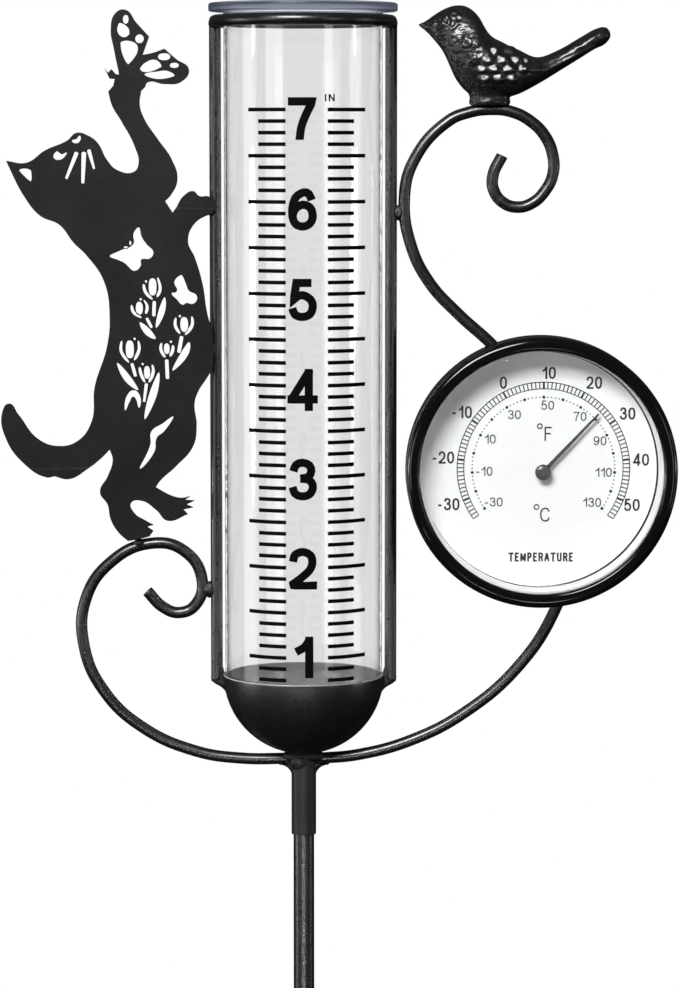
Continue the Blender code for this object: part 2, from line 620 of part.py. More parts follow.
def make_thermometer(anchor, screws, finishes):
    """Case, bezel, lens and dial."""
    case_inner = CASE_R - CASE_WALL
    case_profile = [(0.0, CASE_BACK[0]), (CASE_R - 1.5, CASE_BACK[0]), (CASE_R, CASE_BACK[0] + 1.5),
                    (CASE_R, CASE_RIM), (case_inner, CASE_RIM), (case_inner, CASE_BACK[1]),
                    (0.0, CASE_BACK[1])]
    case = turned("thermometer_case", case_profile, finishes["case"], ROUND, anchor)
    drill(case, [(x, y, SCREW_HOLE_R) for x, y in screws], finishes["case"])

    low, high = BEZEL_DEPTH
    skirt_inner = CASE_R + GAP
    lip = GASKET_DEPTH[1] + GAP
    round_r = (high - lip) / 2
    bezel = [(skirt_inner, low), (BEZEL_R - 0.6, low), (BEZEL_R, low + 0.8)]
    bezel += arc((BEZEL_R - 1.8, high - 1.8), 1.8, 0, 90, 4)
    bezel += arc((BEZEL_INNER_R + round_r, high - round_r), round_r, 90, 270, 4)
    bezel.append((skirt_inner, lip))
    turned("bezel_ring", bezel, finishes["bezel"], ROUND, anchor)

    disc_ring("lens", 0.0, CASE_R, LENS_DEPTH, finishes["glass"], anchor)
    disc_ring("lens_gasket", BEZEL_INNER_R + GAP, CASE_R, GASKET_DEPTH, finishes["rubber"], anchor)
    disc_ring("dial_spacer", PRINT_R - 0.5, DIAL_PLATE_R, (CASE_BACK[1] + GAP, DIAL_PLATE_DEPTH[0] - GAP),
              finishes["white"], anchor)
    plate = disc_ring("dial_plate", 0.0, DIAL_PLATE_R, DIAL_PLATE_DEPTH, finishes["dial"], anchor)
    drill(plate, [(PIVOT_X - DIAL_X, PIVOT_Z - DIAL_Z, PLATE_HOLE_R)], finishes["dial"])
    rehaut_low = DIAL_PLATE_DEPTH[1] + GAP
    rehaut = [(PRINT_R, rehaut_low), (DIAL_PLATE_R, rehaut_low), (DIAL_PLATE_R, CASE_RIM),
              (BEZEL_INNER_R - 0.2, CASE_RIM)]
    turned("inner_ring", rehaut, finishes["white"], ROUND, anchor)


def make_movement(anchor, finishes):
    """Bearings, arbor, bimetal coil and pointer, on the pointer's axis."""
    floor = CASE_BACK[1] + GAP
    bearing = [(0.0, floor), (2.5, floor), (2.5, floor + 1.9), (ARBOR_BORE_R, floor + 1.9),
               (ARBOR_BORE_R, floor + 0.4), (0.0, floor + 0.4)]
    turned("arbor_bearing", bearing, finishes["brass"], 12, anchor)
    disc_ring("arbor_bush", ARBOR_BORE_R, 1.5, (COIL_DEPTH[1] + 0.4, POINTER_DEPTH[0] - 0.4),
              finishes["brass"], anchor, 12)
    disc_ring("arbor", 0.0, ARBOR_R, (floor + 0.6, POINTER_DEPTH[1] + 0.1), finishes["steel"], anchor, 12)

    post = disc_ring("coil_post", 0.0, COIL_POST_R, (floor, COIL_DEPTH[1]), finishes["brass"], anchor, 12)
    post.location.y = -COIL_POST_AT * MM
    extruded_coil(anchor, finishes["bimetal"])

    hub = (POINTER_DEPTH[1] + 0.4, POINTER_DEPTH[1] + 1.5)
    cap = [(0.0, hub[0]), (HUB_R, hub[0]), (HUB_R, hub[0] + 0.5), (HUB_R * 0.75, hub[1]), (0.0, hub[1])]
    turned("pointer_cap", cap, finishes["pointer"], SMALL, anchor)
    make_pointer(anchor, finishes["pointer"])


def extruded_coil(anchor, finish):
    """Flat spiral of bimetal strip from the arbor out to its post."""
    turns = 4.0
    inner_r = 1.2
    outer_r = 9.3
    half_strip = 0.18
    steps = 56
    inner_edge = []
    outer_edge = []
    for step in range(steps + 1):
        share = step / steps
        angle = math.tau * turns * (share - 1.0) - math.pi / 2
        radius = inner_r + (outer_r - inner_r) * share
        inner_edge.append(((radius - half_strip) * math.cos(angle), (radius - half_strip) * math.sin(angle)))
        outer_edge.append(((radius + half_strip) * math.cos(angle), (radius + half_strip) * math.sin(angle)))
    outline = outer_edge + list(reversed(inner_edge))
    coil = extruded("bimetal_coil", outline, COIL_DEPTH[1] - COIL_DEPTH[0], finish, anchor)
    coil.location.z = (COIL_DEPTH[0] + COIL_DEPTH[1]) / 2 * MM


def make_pointer(anchor, finish):
    """Tapered pointer with a round eye on the arbor, set at its resting reading."""
    eye_r = 2.0
    half_root = 0.55
    half_tip = 0.3
    start = math.degrees(math.asin(half_root / eye_r))
    outline = arc((0.0, 0.0), eye_r, 90 + start, 450 - start, 14)
    outline += [(half_tip, POINTER_REACH), (-half_tip, POINTER_REACH)]
    pointer = extruded("pointer", outline, POINTER_DEPTH[1] - POINTER_DEPTH[0], finish, anchor)
    pointer.location.z = (POINTER_DEPTH[0] + POINTER_DEPTH[1]) / 2 * MM
    pointer.rotation_euler.z = -math.radians(POINTER_ANGLE)
    drill(pointer, [(0.0, 0.0, ARBOR_R + GAP)], finish)


def main():
    """Build every piece."""
    clear_scene()
    coat = material("black_powder_coat", (0.018, 0.018, 0.019), 0.5)
    cast = material("black_cast_coat", (0.016, 0.016, 0.017), 0.38)
    clear = material("clear_plastic", (0.86, 0.88, 0.9), 0.08, transmission=1.0)
    finishes = {
        "case": material("black_case_plastic", (0.02, 0.02, 0.02), 0.45),
        "bezel": material("black_gloss_plastic", (0.012, 0.012, 0.013), 0.12),
        "glass": material("lens_glass", (0.95, 0.97, 0.97), 0.02, transmission=1.0),
        "rubber": material("black_rubber", (0.02, 0.02, 0.02), 0.8),
        "white": material("white_plastic", (0.86, 0.86, 0.85), 0.4),
        "dial": material("white_dial", (0.9, 0.9, 0.9), 0.45),
        "brass": material("brass", (0.7, 0.52, 0.22), 0.3, metallic=1.0),
        "steel": material("bright_steel", (0.6, 0.6, 0.6), 0.3, metallic=1.0),
        "bimetal": material("bimetal_strip", (0.62, 0.55, 0.42), 0.35, metallic=1.0),
        "pointer": material("pointer_paint", (0.02, 0.02, 0.025), 0.4),
    }
    make_stake(coat)
    make_frame(coat)
    make_tube(clear)
    make_cat(coat)
    make_bird(cast)
    anchor = make_anchor("dial_anchor", DIAL_X, DIAL_Z)
    pivot = make_anchor("pivot_anchor", PIVOT_X, PIVOT_Z)
    screws = make_clips(anchor, finishes["steel"], coat)
    make_thermometer(anchor, screws, finishes)
    make_movement(pivot, finishes)


main()
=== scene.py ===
"""Looks of the manual rain gauge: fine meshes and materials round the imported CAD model.

Numbers are millimetres in the part's own frame unless a comment says otherwise; MM turns them to metres.
"""

import math

import bmesh
import bpy
import numpy as np
from mathutils import Matrix, Vector, noise
from mathutils.geometry import delaunay_2d_cdt


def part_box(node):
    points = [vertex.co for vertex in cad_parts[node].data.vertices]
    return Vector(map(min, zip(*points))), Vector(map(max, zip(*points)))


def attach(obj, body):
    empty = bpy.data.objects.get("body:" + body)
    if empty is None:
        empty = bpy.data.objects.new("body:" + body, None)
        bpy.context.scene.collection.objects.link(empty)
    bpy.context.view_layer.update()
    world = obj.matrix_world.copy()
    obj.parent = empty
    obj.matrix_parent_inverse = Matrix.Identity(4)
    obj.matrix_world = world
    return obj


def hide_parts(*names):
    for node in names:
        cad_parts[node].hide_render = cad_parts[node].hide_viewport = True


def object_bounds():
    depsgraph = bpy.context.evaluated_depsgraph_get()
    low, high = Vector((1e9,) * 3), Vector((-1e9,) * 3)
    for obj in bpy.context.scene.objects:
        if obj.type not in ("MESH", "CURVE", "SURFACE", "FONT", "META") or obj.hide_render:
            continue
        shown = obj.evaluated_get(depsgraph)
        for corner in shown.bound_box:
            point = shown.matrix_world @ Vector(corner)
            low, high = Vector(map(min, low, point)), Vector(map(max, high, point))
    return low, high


MM = 0.001
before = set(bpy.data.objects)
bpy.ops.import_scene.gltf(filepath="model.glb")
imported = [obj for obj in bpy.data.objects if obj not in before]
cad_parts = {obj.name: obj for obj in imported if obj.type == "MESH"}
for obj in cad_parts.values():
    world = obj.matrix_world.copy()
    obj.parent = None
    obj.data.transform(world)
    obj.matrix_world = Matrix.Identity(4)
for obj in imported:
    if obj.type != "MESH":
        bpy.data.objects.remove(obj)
CAD_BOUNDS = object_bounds()


def node_box(node):
    """Lowest and highest corner of a CAD node, in millimetres."""
    low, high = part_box(node)
    return low / MM, high / MM


# Sizes read from the frame
TUBE_HIGH = node_box("rain_tube")[1]
CUP_HIGH = node_box("cup")[1]
RING_LOW, RING_HIGH = node_box("top_ring")
BEZEL_LOW, BEZEL_HIGH = node_box("bezel_ring")
CASE_LOW, CASE_HIGH = node_box("thermometer_case")
LENS_LOW, LENS_HIGH = node_box("lens")
PLATE_LOW, PLATE_HIGH = node_box("dial_plate")
INNER_LOW, INNER_HIGH = node_box("inner_ring")
SOCKET_LOW, SOCKET_HIGH = node_box("stake_socket")
STAKE_LOW, STAKE_HIGH = node_box("upper_stake")
SPIKE_LOW, SPIKE_HIGH = node_box("spike_rod")
SLEEVE_LOW, SLEEVE_HIGH = node_box("spike_socket")
FORK_LOW, FORK_HIGH = node_box("ground_fork")
CAT_LOW, CAT_HIGH = node_box("cat_silhouette")
CAP_LOW, CAP_HIGH = node_box("pointer_cap")
POINTER_LOW, POINTER_HIGH = node_box("pointer")

CUP_R = CUP_HIGH.x
CUP_WALL = 0.4              # thinner than in CAD, like the tube's wall
BOWL_Z = CUP_HIGH.z
LIP_R = TUBE_HIGH.x
LIP_THICK = 2.3
TUBE_R = CUP_R - 0.55
TUBE_WALL = 0.8
STAKE_R = STAKE_HIGH.x
SOCKET_R = SOCKET_HIGH.x
SOCKET_BORE_R = STAKE_R + 0.1
ROD_R = 1.65
SCROLL_R = 1.62
RING_R = RING_HIGH.x - ROD_R
RING_Z = (RING_LOW.z + RING_HIGH.z) / 2
DIAL_X = (BEZEL_LOW.x + BEZEL_HIGH.x) / 2
DIAL_Z = (BEZEL_LOW.z + BEZEL_HIGH.z) / 2
BEZEL_R = (BEZEL_HIGH.x - BEZEL_LOW.x) / 2
BEZEL_INNER_R = 33.2
CASE_R = (CASE_HIGH.x - CASE_LOW.x) / 2
LENS_FLAT_R = 31.0
PRINT_R = 32.62             # inside of the white ring round the print
PIVOT_X = (CAP_LOW.x + CAP_HIGH.x) / 2
PIVOT_Z = (CAP_LOW.z + CAP_HIGH.z) / 2
PRINT_X = PIVOT_X + 0.2     # the print sits a little high on the pivot
PRINT_Z = PIVOT_Z + 0.9
POINTER_ANGLE = 43.5        # clockwise from straight up, at rest
POINTER_REACH = 22.2
SIDES = (("left", -1), ("right", 1))

# Behind the thermometer the right scroll is one arc
ARC_CENTRE = (14.85, 368.4)
ARC_R = 61.0
CLIP_ANGLES = {"lower": -8.0, "upper": 32.0}


def arc_point(degrees):
    """Point (x, z) of the right scroll behind the thermometer."""
    angle = math.radians(degrees)
    return ARC_CENTRE[0] + ARC_R * math.cos(angle), ARC_CENTRE[1] + ARC_R * math.sin(angle)


# Centre lines of the two scrolls, (x, z), each from the socket outwards
LEFT_SCROLL = [
    (-3.8, 300.6), (-17.8, 300.7), (-29.9, 302.6), (-45.2, 309.5), (-55.75, 319.6),
    (-61.2, 332.0), (-60.7, 345.6), (-53.6, 356.0), (-42.4, 361.2), (-33.5, 359.25),
    (-28.3, 351.1), (-30.2, 343.9), (-34.7, 341.75), (-39.1, 343.25), (-43.6, 347.8),
]
RIGHT_SCROLL = [
    (3.8, 300.6), (15.0, 301.65), (30.1, 305.8), (45.0, 313.6), (60.0, 326.7),
    arc_point(-25.5), arc_point(-8.0), arc_point(12.0), arc_point(32.0), arc_point(52.5),
    (43.0, 424.9), (34.8, 433.8), (29.7, 444.1), (27.9, 457.2), (30.5, 467.3),
    (40.0, 478.15), (45.6, 480.5), (51.4, 481.3), (57.2, 480.7), (62.4, 478.2),
    (66.5, 474.1), (68.7, 468.9), (68.8, 463.6), (66.6, 458.9), (63.1, 455.6),
    (59.1, 454.5), (55.2, 455.7), (52.5, 459.2), (52.3, 463.2), (54.8, 468.7),
]

# Cat outline, (x, z). Each row is one smooth stretch that starts at a corner.
CAT_OUTLINE = [
    [(-50.39, 490.85), (-51.79, 497.82), (-52.59, 502.9), (-51.29, 507.49), (-48.6, 508.39),
    (-45.61, 504.9)], [(-42.12, 501.11)], [(-43.92, 496.13), (-41.03, 496.73)], [(-37.94, 497.82),
    (-34.75, 495.03), (-31.26, 492.14), (-33.45, 488.75), (-37.94, 488.16), (-42.72, 488.55)],
    [(-43.32, 487.36)], [(-44.41, 486.26), (-44.81, 482.67), (-43.72, 478.99), (-39.93, 473.21),
    (-36.04, 467.53), (-34.55, 462.04), (-36.34, 457.86)], [(-37.94, 456.16)], [(-35.94, 453.07),
    (-35.05, 454.27), (-32.85, 457.66), (-30.26, 458.95), (-28.47, 457.56), (-26.28, 457.56)],
    [(-24.48, 456.66), (-24.18, 454.87)], [(-24.78, 452.98), (-29.76, 450.13), (-31.71, 445.2),
    (-29.86, 440.72), (-27.72, 433.34), (-26.38, 424.87)], [(-24.88, 420.19)], [(-24.78, 410.52),
    (-26.38, 407.83), (-29.07, 403.64), (-30.06, 400.55), (-29.52, 394.08), (-30.46, 388.64),
    (-35.35, 382.91), (-39.68, 378.93)], [(-40.93, 377.13), (-36.69, 374.84), (-33.95, 374.19)],
    [(-31.36, 374.64)], [(-32.9, 373.65)], [(-30.16, 373.45)], [(-32.46, 372.35)], [(-30.56, 371.55)],
    [(-33.35, 370.95)], [(-32.06, 369.66), (-37.74, 367.87), (-40.73, 370.76), (-45.06, 373.45),
    (-47.8, 372.75), (-47.11, 370.16), (-43.72, 367.77)], [(-41.62, 366.67)], [(-43.42, 366.17)],
    [(-41.62, 364.98)], [(-42.72, 363.48), (-45.81, 362.68)], [(-48.7, 362.18), (-51.39, 364.68),
    (-53.48, 368.36), (-54.28, 372.35), (-56.37, 375.84), (-54.18, 380.32), (-52.79, 384.91)],
    [(-53.58, 387.6), (-55.97, 385.21), (-59.51, 382.42), (-64.94, 379.43)], [(-68.93, 380.22),
    (-71.07, 379.92), (-77.2, 383.61), (-82.29, 390.69), (-83.28, 397.86), (-81.49, 400.35),
    (-78.9, 397.41), (-73.37, 390.49), (-67.93, 388.59), (-62.55, 389.99), (-58.57, 395.47),
    (-57.67, 404.94), (-54.18, 416.2), (-53.38, 424.37), (-54.88, 434.14), (-59.66, 441.31), (-63.2, 444.8),
    (-67.04, 449.69), (-72.27, 452.13), (-76.6, 457.36)], [(-81.59, 467.23), (-76.01, 466.73),
    (-70.82, 470.12), (-64.75, 472.81), (-62.15, 474.9), (-58.87, 474.05), (-56.57, 472.31),
    (-53.78, 467.33), (-51.29, 464.83), (-46.51, 464.24), (-45.21, 466.33), (-46.21, 471.11),
    (-50.0, 478.29), (-52.39, 482.37)], [(-53.38, 486.16)], [(-51.99, 487.76)], [(-51.59, 489.55)],
    [(-52.99, 489.65)], [(-54.38, 492.54)], [(-53.48, 491.24)], [(-52.49, 492.24)], [(-51.29, 490.85)],
]

# Cut-outs of the cat: ear, eyes, two butterflies, hind leg, cells of the paw butterfly's wings
CAT_CUTS = [
    [[(-77.9, 464.54), (-76.31, 465.03)], [(-74.81, 464.44)], [(-74.91, 461.75)]],
    [[(-67.64, 469.72), (-68.53, 468.22), (-66.74, 467.63)], [(-64.94, 469.32), (-66.34, 468.97)]],
    [[(-61.26, 474.0), (-61.36, 472.61), (-62.55, 472.11)], [(-63.35, 472.71), (-62.25, 473.11)]],
    [[(-45.21, 448.89), (-46.61, 447.39), (-46.76, 444.3), (-50.0, 442.71)],
     [(-53.18, 441.12), (-50.99, 440.12), (-49.0, 439.12)],
     [(-48.3, 438.42), (-46.61, 437.13), (-44.81, 438.52), (-44.66, 440.22)],
     [(-44.12, 440.42), (-42.32, 440.52), (-41.32, 442.11), (-43.12, 444.3), (-44.51, 446.4)]],
    [[(-33.55, 435.78), (-35.44, 434.04), (-34.8, 431.35)],
     [(-36.19, 430.75), (-34.95, 429.36), (-33.15, 427.76)],
     [(-32.26, 428.26), (-30.26, 428.11), (-29.37, 430.05), (-31.66, 431.65), (-32.26, 433.14)]],
    [[(-49.3, 398.66), (-48.75, 402.45), (-46.81, 404.04), (-45.11, 402.25)],
     [(-45.41, 399.36), (-46.21, 401.55), (-47.06, 402.35), (-48.1, 400.95)]],
    [[(-36.04, 396.67), (-38.78, 392.58), (-40.63, 390.99), (-41.23, 387.3)],
     [(-45.21, 382.42), (-42.32, 388.89), (-42.02, 392.58), (-38.83, 394.87)]],
    [[(-50.19, 504.7), (-47.9, 503.4)], [(-47.65, 501.81), (-49.0, 501.01), (-50.69, 502.41)]],
    [[(-49.8, 499.52), (-47.4, 499.82), (-45.31, 498.32)], [(-47.8, 493.74), (-49.4, 496.33)]],
    [[(-44.56, 492.34), (-43.32, 491.54)], [(-38.93, 492.94), (-40.23, 494.63), (-43.12, 493.99)]],
    [[(-43.32, 490.8), (-39.83, 489.65)], [(-35.35, 490.45), (-37.04, 491.64), (-40.23, 491.49)]],
]

# Round cut-outs: centre, half width, half height
CAT_OVALS = [
    ((-48.5, 505.79), 0.8, 1.2), ((-44.76, 500.51), 1.2, 1.2), ((-38.04, 495.63), 1.7, 0.95),
    ((-35.25, 493.29), 1.25, 0.7), ((-47.6, 444.7), 0.3, 0.6), ((-48.8, 443.51), 0.6, 0.3),
]

# Straight cut-outs, whiskers and stems: one end and its width, other end and its width
CAT_SLOTS = [
    ((-62.25, 469.32), 1.0, (-65.04, 462.54), 0.6), ((-60.21, 469.32), 1.15, (-60.56, 461.35), 0.75),
    ((-58.82, 470.02), 0.9, (-57.47, 465.23), 0.5),
    ((-41.08, 428.46), 0.75, (-41.23, 424.77), 0.75), ((-43.12, 423.87), 0.6, (-41.92, 421.58), 0.6),
    ((-33.58, 418.8), 0.8, (-34.35, 414.71), 0.8), ((-47.3, 411.32), 0.7, (-46.41, 408.13), 0.7),
    ((-43.37, 405.74), 0.75, (-44.02, 401.05), 0.5), ((-37.72, 412.35), 0.8, (-37.54, 407.48), 0.8),
]

# Leaves: the two pointed ends and the middle of each side
CAT_LEAVES = [
    ((-38.24, 429.65), (-38.14, 426.17), (-40.53, 421.48), (-40.03, 425.37)),
    ((-45.06, 422.73), (-42.52, 421.08), (-40.83, 418.39), (-43.52, 419.59)),
    ((-31.51, 417.3), (-31.66, 414.41), (-36.04, 409.62), (-33.75, 414.31)),
    ((-51.39, 411.52), (-48.4, 408.63), (-45.71, 404.24), (-49.2, 406.63)),
    ((-39.93, 408.93), (-40.43, 403.24), (-43.82, 396.17), (-42.82, 402.15)),
]

# Tulips: centre, the middle petal's half width and height, then each side petal's two ends
# and the middle of its outer side, and the loose dot, all from the centre
CAT_TULIPS = [
    ((-41.52, 432.64), (1.1, 2.4), ((-2.5, 0.7), (-2.3, -1.6), (-0.1, -3.4)),
     ((1.45, 2.5), (2.4, -0.9), (1.2, -2.7)), (-1.8, 1.5)),
    ((-45.21, 426.76), (1.0, 1.8), ((-2.15, 0.8), (-2.0, -1.2), (0.5, -2.6)),
     ((1.35, 2.2), (2.5, 0.4), (1.75, -1.5)), (0.4, 2.45)),
    ((-32.85, 422.28), (1.1, 2.1), ((-2.35, 1.8), (-2.8, -0.5), (-1.2, -2.5)),
     ((2.2, 2.1), (2.5, -0.4), (0.3, -2.8)), (-1.2, 2.3)),
    ((-47.9, 415.4), (1.15, 2.5), ((-2.25, 2.25), (-2.75, -0.6), (-0.3, -3.6)),
     ((2.4, 2.3), (2.9, -0.2), (1.25, -2.9)), (1.35, 2.9)),
    ((-43.17, 409.03), (0.85, 1.8), ((-2.05, 1.4), (-2.1, -0.4), (-0.65, -2.7)),
     ((1.5, 2.05), (2.05, 0.0), (0.5, -2.7)), (-1.2, 2.3)),
    ((-37.69, 415.6), (0.8, 1.5), ((-1.5, 1.5), (-2.0, -0.3), (-0.5, -2.4)),
     ((1.75, 0.9), (2.0, -0.5), (0.9, -2.1)), (1.15, 1.9)),
]
CAT_EDGE = 0.12             # rounding of the cut edges
CUT_GROW = 0.08             # the cut-outs are this much wider all round than their knots
CUT_CORNER = 0.13           # half length of their rounded corners
PETAL_WIDTH = 0.68
TULIP_DOT_R = 0.35
CAT_WELDS = ((-25.1, 454.6, 2.6), (-25.2, 415.0, 2.6), (-45.6, 361.4, 1.4))     # x, z, half height

# Bird: x, then the heights of its back and its belly, and its half width there
BIRD_SECTIONS = [
    (31.6, 504.6, 504.2, 0.3), (33.9, 505.6, 502.4, 1.3), (36.0, 507.1, 500.2, 3.2),
    (38.5, 508.6, 496.9, 4.6), (42.0, 509.7, 489.5, 5.8), (45.0, 509.3, 486.0, 6.8),
    (48.0, 506.9, 484.7, 7.6), (50.8, 502.3, 484.4, 8.0), (55.1, 499.5, 484.4, 7.8),
    (59.0, 497.7, 485.4, 6.8), (64.0, 495.6, 487.9, 5.2), (70.0, 497.5, 491.5, 3.9),
    (76.0, 500.9, 495.2, 4.0), (80.6, 503.4, 498.0, 4.2), (82.4, 503.8, 498.8, 3.8),
    (83.6, 503.4, 499.8, 3.0), (84.3, 502.4, 500.8, 1.8),
]
BIRD_FULLNESS = 0.94        # share of that half width that the plain body has before its relief
TAIL_X = 64.0               # where the tail's ridge starts

# Feathers of the wing, row by row: height of the row, and the middle and half length of each
FEATHERS = {
    497.1: ((52.0, 1.3), (56.3, 2.0)),
    494.7: ((50.3, 1.5), (54.1, 1.7), (57.9, 1.6), (60.9, 1.0)),
    492.3: ((48.7, 1.4), (52.1, 1.5), (55.9, 1.9), (59.8, 1.4)),
    490.0: ((49.6, 1.5), (53.1, 1.6), (56.7, 1.6)),
}
FEATHER_RISE = 0.6          # how far a feather's middle stands out
FEATHER_LEAN_X = 0.17       # slopes of its flat face
FEATHER_LEAN_Z = -0.24

# Other swellings of the bird's side: middle (x, z), half length, half height, rise
BIRD_SWELLS = [
    (63.3, 492.2, 3.4, 0.8, 0.35), (46.3, 494.6, 1.7, 1.5, 0.45), (44.6, 499.6, 1.5, 1.8, 0.4),
    (47.0, 499.3, 1.6, 1.4, 0.25),
]

# Block under the bird, from its foot up: height, half length, half depth
PERCH_X = 51.3
PERCH_LEVELS = [
    (482.4, 5.4, 4.0), (483.2, 5.75, 4.3), (484.6, 5.5, 4.1), (486.5, 6.2, 4.6), (490.0, 6.0, 4.4),
]

# Printed inch scale on the tube
INCH = 24.85
SCALE_ZERO_Z = 307.2
SCALE_FIRST = 0.75          # inches
SCALE_LAST = 7.0
MARK_THICK = 1.03
LEFT_MARKS = (-4.52, -11.95, -14.65)     # inner end, short outer end, long outer end
RIGHT_MARKS = (6.85, 13.9, 16.95)
NUMBER_HEIGHT = 11.45
NUMBER_STROKE = 2.25
NUMBER_FIRST_Z = 332.3
NUMBER_PITCH = 24.4
INK = 0.05                  # thickness of a printed layer
INK_LIFT = 0.02

# Dial print, from its own centre: 10 degrees C are straight up
TURN_PER_C = 2.8            # degrees of turn
SCALE_ARCS = ((21.78, 22.0), (23.6, 23.85))
DOTS_R = 19.6
CELSIUS_AT = {10: (1.37, 26.3), 0: (-11.1, 23.6), 20: (13.8, 23.6), -10: (-22.5, 15.5), 30: (23.0, 15.1),
              -20: (-27.6, 3.0), 40: (26.8, 2.4), -30: (-26.1, -9.9), 50: (24.4, -10.1)}
FAHRENHEIT_AT = {50: (1.07, 17.4), 30: (-8.05, 14.8), 70: (9.97, 14.3), 10: (-14.7, 8.1), 90: (15.5, 7.6),
                 -10: (-16.3, -0.8), 110: (16.5, -1.1), -30: (-13.7, -9.3), 130: (13.4, -9.4)}

# Strokes of each character in a unit box; each row is smooth and starts at a corner
GLYPHS = {
    "0": (0.68, [[[(0.5, 1.0), (0.88, 0.86), (1.0, 0.5), (0.88, 0.14), (0.5, 0.0), (0.12, 0.14),
                   (0.0, 0.5), (0.12, 0.86), (0.5, 1.0)]]]),
    "1": (0.5, [[[(1.0, -0.3)], [(1.0, 1.3)]], [[(0.98, 1.0), (0.6, 0.8), (-0.05, 0.66)]]]),
    "2": (0.68, [[[(0.02, 0.7), (0.12, 0.91), (0.48, 1.0), (0.86, 0.91), (0.97, 0.7), (0.84, 0.46),
                   (0.38, 0.2), (0.05, 0.0)], [(1.4, 0.0)]]]),
    "3": (0.68, [[[(0.04, 0.74), (0.17, 0.93), (0.48, 1.0), (0.83, 0.92), (0.92, 0.74), (0.77, 0.58),
                   (0.38, 0.53)]],
                 [[(0.38, 0.53), (0.83, 0.48), (1.0, 0.28), (0.85, 0.07), (0.48, 0.0), (0.13, 0.08),
                   (0.0, 0.28)]]]),
    "4": (0.72, [[[(0.78, -0.3)], [(0.78, 1.3)]], [[(0.84, 1.1)], [(0.0, 0.22)]],
                 [[(-0.3, 0.22)], [(1.4, 0.22)]]]),
    "5": (0.68, [[[(0.94, 1.0)], [(0.2, 1.0)], [(0.07, 0.5), (0.25, 0.6), (0.52, 0.64), (0.88, 0.52),
                   (1.0, 0.31), (0.86, 0.08), (0.48, 0.0), (0.13, 0.07), (0.0, 0.26)]]]),
    "6": (0.68, [[[(0.95, 0.77), (0.82, 0.95), (0.55, 1.0), (0.16, 0.84), (0.0, 0.46), (0.12, 0.11),
                   (0.5, 0.0), (0.88, 0.1), (1.0, 0.32), (0.88, 0.55), (0.52, 0.64), (0.17, 0.53),
                   (0.03, 0.36)]]]),
    "7": (0.68, [[[(-0.3, 1.0)], [(1.0, 1.0), (0.68, 0.62), (0.45, 0.25), (0.36, -0.15)]]]),
    "9": (0.68, [[[(0.05, 0.23), (0.18, 0.05), (0.45, 0.0), (0.84, 0.16), (1.0, 0.54), (0.88, 0.89),
                   (0.5, 1.0), (0.12, 0.9), (0.0, 0.68), (0.12, 0.45), (0.48, 0.36), (0.83, 0.47),
                   (0.97, 0.64)]]]),
    "-": (0.5, [[[(0.0, 0.38)], [(1.0, 0.38)]]]),
    "T": (0.62, [[[(-0.3, 1.0)], [(1.3, 1.0)]], [[(0.5, 1.0)], [(0.5, -0.3)]]]),
    "E": (0.52, [[[(1.3, 1.0)], [(0.0, 1.0)], [(0.0, 0.0)], [(1.3, 0.0)]],
                 [[(0.0, 0.53)], [(1.05, 0.53)]]]),
    "M": (0.72, [[[(0.0, -0.08)], [(0.0, 1.0)]], [[(0.02, 1.0)], [(0.5, 0.12)], [(0.98, 1.0)]],
                 [[(1.0, 1.0)], [(1.0, -0.08)]]]),
    "P": (0.55, [[[(0.0, -0.08)], [(0.0, 1.0)], [(0.6, 1.0), (0.95, 0.92), (1.0, 0.73), (0.93, 0.54)],
                  [(0.6, 0.46)], [(0.0, 0.46)]]]),
    "R": (0.58, [[[(0.0, -0.08)], [(0.0, 1.0)], [(0.6, 1.0), (0.95, 0.92), (1.0, 0.75), (0.93, 0.58)],
                  [(0.6, 0.5)], [(0.0, 0.5)]], [[(0.55, 0.5), (0.8, 0.38)], [(1.05, -0.08)]]]),
    "A": (0.62, [[[(-0.12, -0.08)], [(0.5, 1.05)], [(1.12, -0.08)]], [[(0.15, 0.33)], [(0.85, 0.33)]]]),
    "U": (0.6, [[[(0.0, 1.08)], [(0.0, 0.35), (0.1, 0.07), (0.5, 0.0), (0.9, 0.07)], [(1.0, 0.35)],
                 [(1.0, 1.08)]]]),
    "I": (0.2, [[[(0.5, -0.08)], [(0.5, 1.08)]]]),
    "N": (0.66, [[[(0.0, -0.08)], [(0.0, 1.08)]], [[(0.0, 1.0)], [(1.0, 0.0)]],
                 [[(1.0, -0.08)], [(1.0, 1.08)]]]),
    "F": (0.52, [[[(1.1, 1.0)], [(0.0, 1.0)], [(0.0, -0.08)]], [[(0.0, 0.52)], [(0.95, 0.52)]]]),
    "C": (0.7, [[[(1.0, 0.74), (0.85, 0.93), (0.52, 1.0), (0.15, 0.87), (0.0, 0.5), (0.15, 0.13),
                  (0.52, 0.0), (0.85, 0.07), (1.0, 0.28)]]]),
}

# Finishes of the pieces inside the thermometer
HIDDEN_FINISHES = {
    "lens_gasket": "gasket_rubber", "dial_spacer": "white_plastic", "arbor_bearing": "brass",
    "arbor_bush": "brass", "coil_post": "brass", "bimetal_coil": "bimetal", "arbor": "screw_steel",
}

ROOM_LOW = 0.02             # brightness of the room's lower part
ROOM_HIGH = 0.08            # of its upper part

